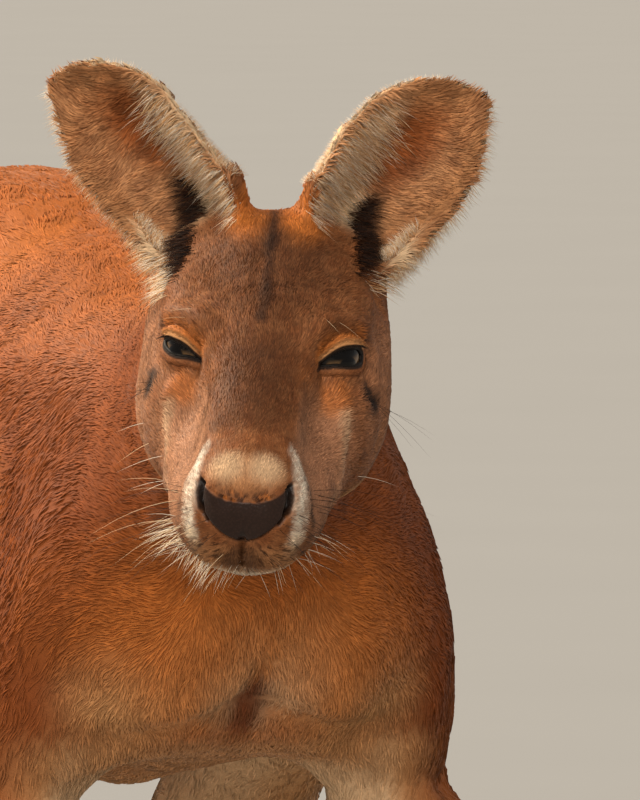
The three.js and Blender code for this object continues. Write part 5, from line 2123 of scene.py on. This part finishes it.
@dataclass(frozen=True)
class Studio:
    """A pale floor, soft lights, and a camera that looks at the face from low and afar."""

    head: HeadFrame
    azimuth: float = math.radians(-17.0)
    elevation: float = math.radians(4.0)
    distance: float = 5.0
    lens: float = 445.0
    aside: float = 0.0288
    below: float = 0.0242

    def build(self, palette: Palette) -> None:
        """Sets up the floor, the lights and the camera."""
        self._floor(palette)
        self._world()
        self._light("key", (-4.2, 3.2, 5.0), 26.0, 4.7, (1.0, 0.88, 0.70))
        self._light("fill", (-2.4, -6.4, 4.2), 40.0, 2.1, (1.0, 0.94, 0.86))
        self._camera()

    def _floor(self, palette: Palette) -> None:
        """A wide plain floor under the feet."""
        bpy.ops.object.select_all(action="DESELECT")
        bpy.ops.mesh.primitive_plane_add(size=60.0, location=(0.0, 0.0, 0.0))
        floor = bpy.context.active_object
        floor.name = "floor"
        floor.data.name = "floor"
        palette.put(Finish.FLOOR, floor)

    def _world(self) -> None:
        """Soft light from all round."""
        world = bpy.data.worlds.new("studio")
        world.use_nodes = True
        background = world.node_tree.nodes["Background"]
        background.inputs["Color"].default_value = (1.0, 0.97, 0.93, 1.0)
        background.inputs["Strength"].default_value = 0.34
        bpy.context.scene.world = world
        bpy.context.scene.view_settings.view_transform = "Standard"

    def _light(self, name: str, place: tuple, spread: float, power: float, colour: tuple) -> None:
        """Adds an even light that shines on the shoulders from a place in the distance.

        Args:
            name: The light's name.
            place: Which way it comes from.
            spread: How wide it is in degrees, which softens its shadows.
            power: Its power in watts on each square metre.
            colour: Its colour.
        """
        aim = Vector(place_in("chest", 0.5, 0.3, 0.8))
        bpy.ops.object.select_all(action="DESELECT")
        turn = (Vector(place) - aim).to_track_quat("Z", "Y").to_euler()
        bpy.ops.object.light_add(type="SUN", location=place, rotation=turn)
        light = bpy.context.active_object
        light.name = name
        light.data.angle = math.radians(spread)
        light.data.energy = power
        light.data.color = colour

    def _camera(self) -> None:
        """A long lens from low on the animal's right front."""
        back = Vector((
            math.sin(self.azimuth) * math.cos(self.elevation),
            -math.cos(self.azimuth) * math.cos(self.elevation),
            math.sin(self.elevation),
        ))
        right = Vector((math.cos(self.azimuth), math.sin(self.azimuth), 0.0))
        up = back.cross(right)
        eyes = self.head.world(np.array([[0.0, self.head.eye_ahead, self.head.eye_up]]))[0]
        aim = Vector(eyes) + right * self.aside - up * self.below
        bpy.ops.object.select_all(action="DESELECT")
        bpy.ops.object.camera_add(location=aim + back * self.distance)
        camera = bpy.context.active_object
        camera.rotation_euler = back.to_track_quat("Z", "Y").to_euler()
        camera.data.sensor_width = 36.0
        camera.data.lens = self.lens
        bpy.context.scene.camera = camera


# ---- building it


PATCHES = (
    CoatPatch("fur_muzzle", ("head",), 34000, ahead=(38.0, 1e4), unevenness=0.2),
    CoatPatch("fur_brow", ("head",), 33000, ahead=(-1e4, 38.0), above=(-2.0, 1e4), unevenness=0.2),
    CoatPatch("fur_cheeks", ("head",), 33000, ahead=(-1e4, 38.0), above=(-1e4, -2.0), unevenness=0.2),
    CoatPatch("fur_ears", ("ear",), 32000, unevenness=0.16),
    CoatPatch("fur_neck", ("neck",), 27000),
    CoatPatch("fur_chest_under", ("chest",), 34000),
    CoatPatch("fur_chest_over", ("chest",), 34000),
    CoatPatch("fur_arms", ("upper_arm", "forearm", "hand"), 24000),
    CoatPatch("fur_trunk", ("abdomen",), 46000),
    CoatPatch("fur_legs", ("thigh", "shank", "foot"), 34000),
    CoatPatch("fur_tail", ("tail",), 18000),
)


def main() -> None:
    """Builds the model in order."""
    logging.basicConfig(level=logging.INFO, format="%(name)s: %(message)s")
    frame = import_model()
    nodes = frame["nodes"]
    palette = Palette()
    head = HeadFrame()
    face = Face(head)
    regions = Regions(nodes)
    markings = Markings(head, face)

    skin = Skin(head, face, regions, markings).build(nodes)
    palette.dress(Finish.HIDE, skin)
    for ball, rim in Eyes(head).build():
        palette.dress(Finish.EYE, ball)
        palette.dress(Finish.RIM, rim)
    for claws in Claws().build(nodes):
        palette.dress(Finish.HORN, claws)
    coat = Coat(skin, head, regions, markings)
    for seed, patch in enumerate(PATCHES):
        palette.dress(Finish.HAIR, coat.grow(patch, seed))
    long_hair = LongHair(coat, 71)
    for hair in (long_hair.ears(), long_hair.jaw(), long_hair.whiskers(), long_hair.lashes()):
        palette.dress(Finish.HAIR, hair)

    Studio(head).build(palette)


if __name__ == "__main__":
    main()
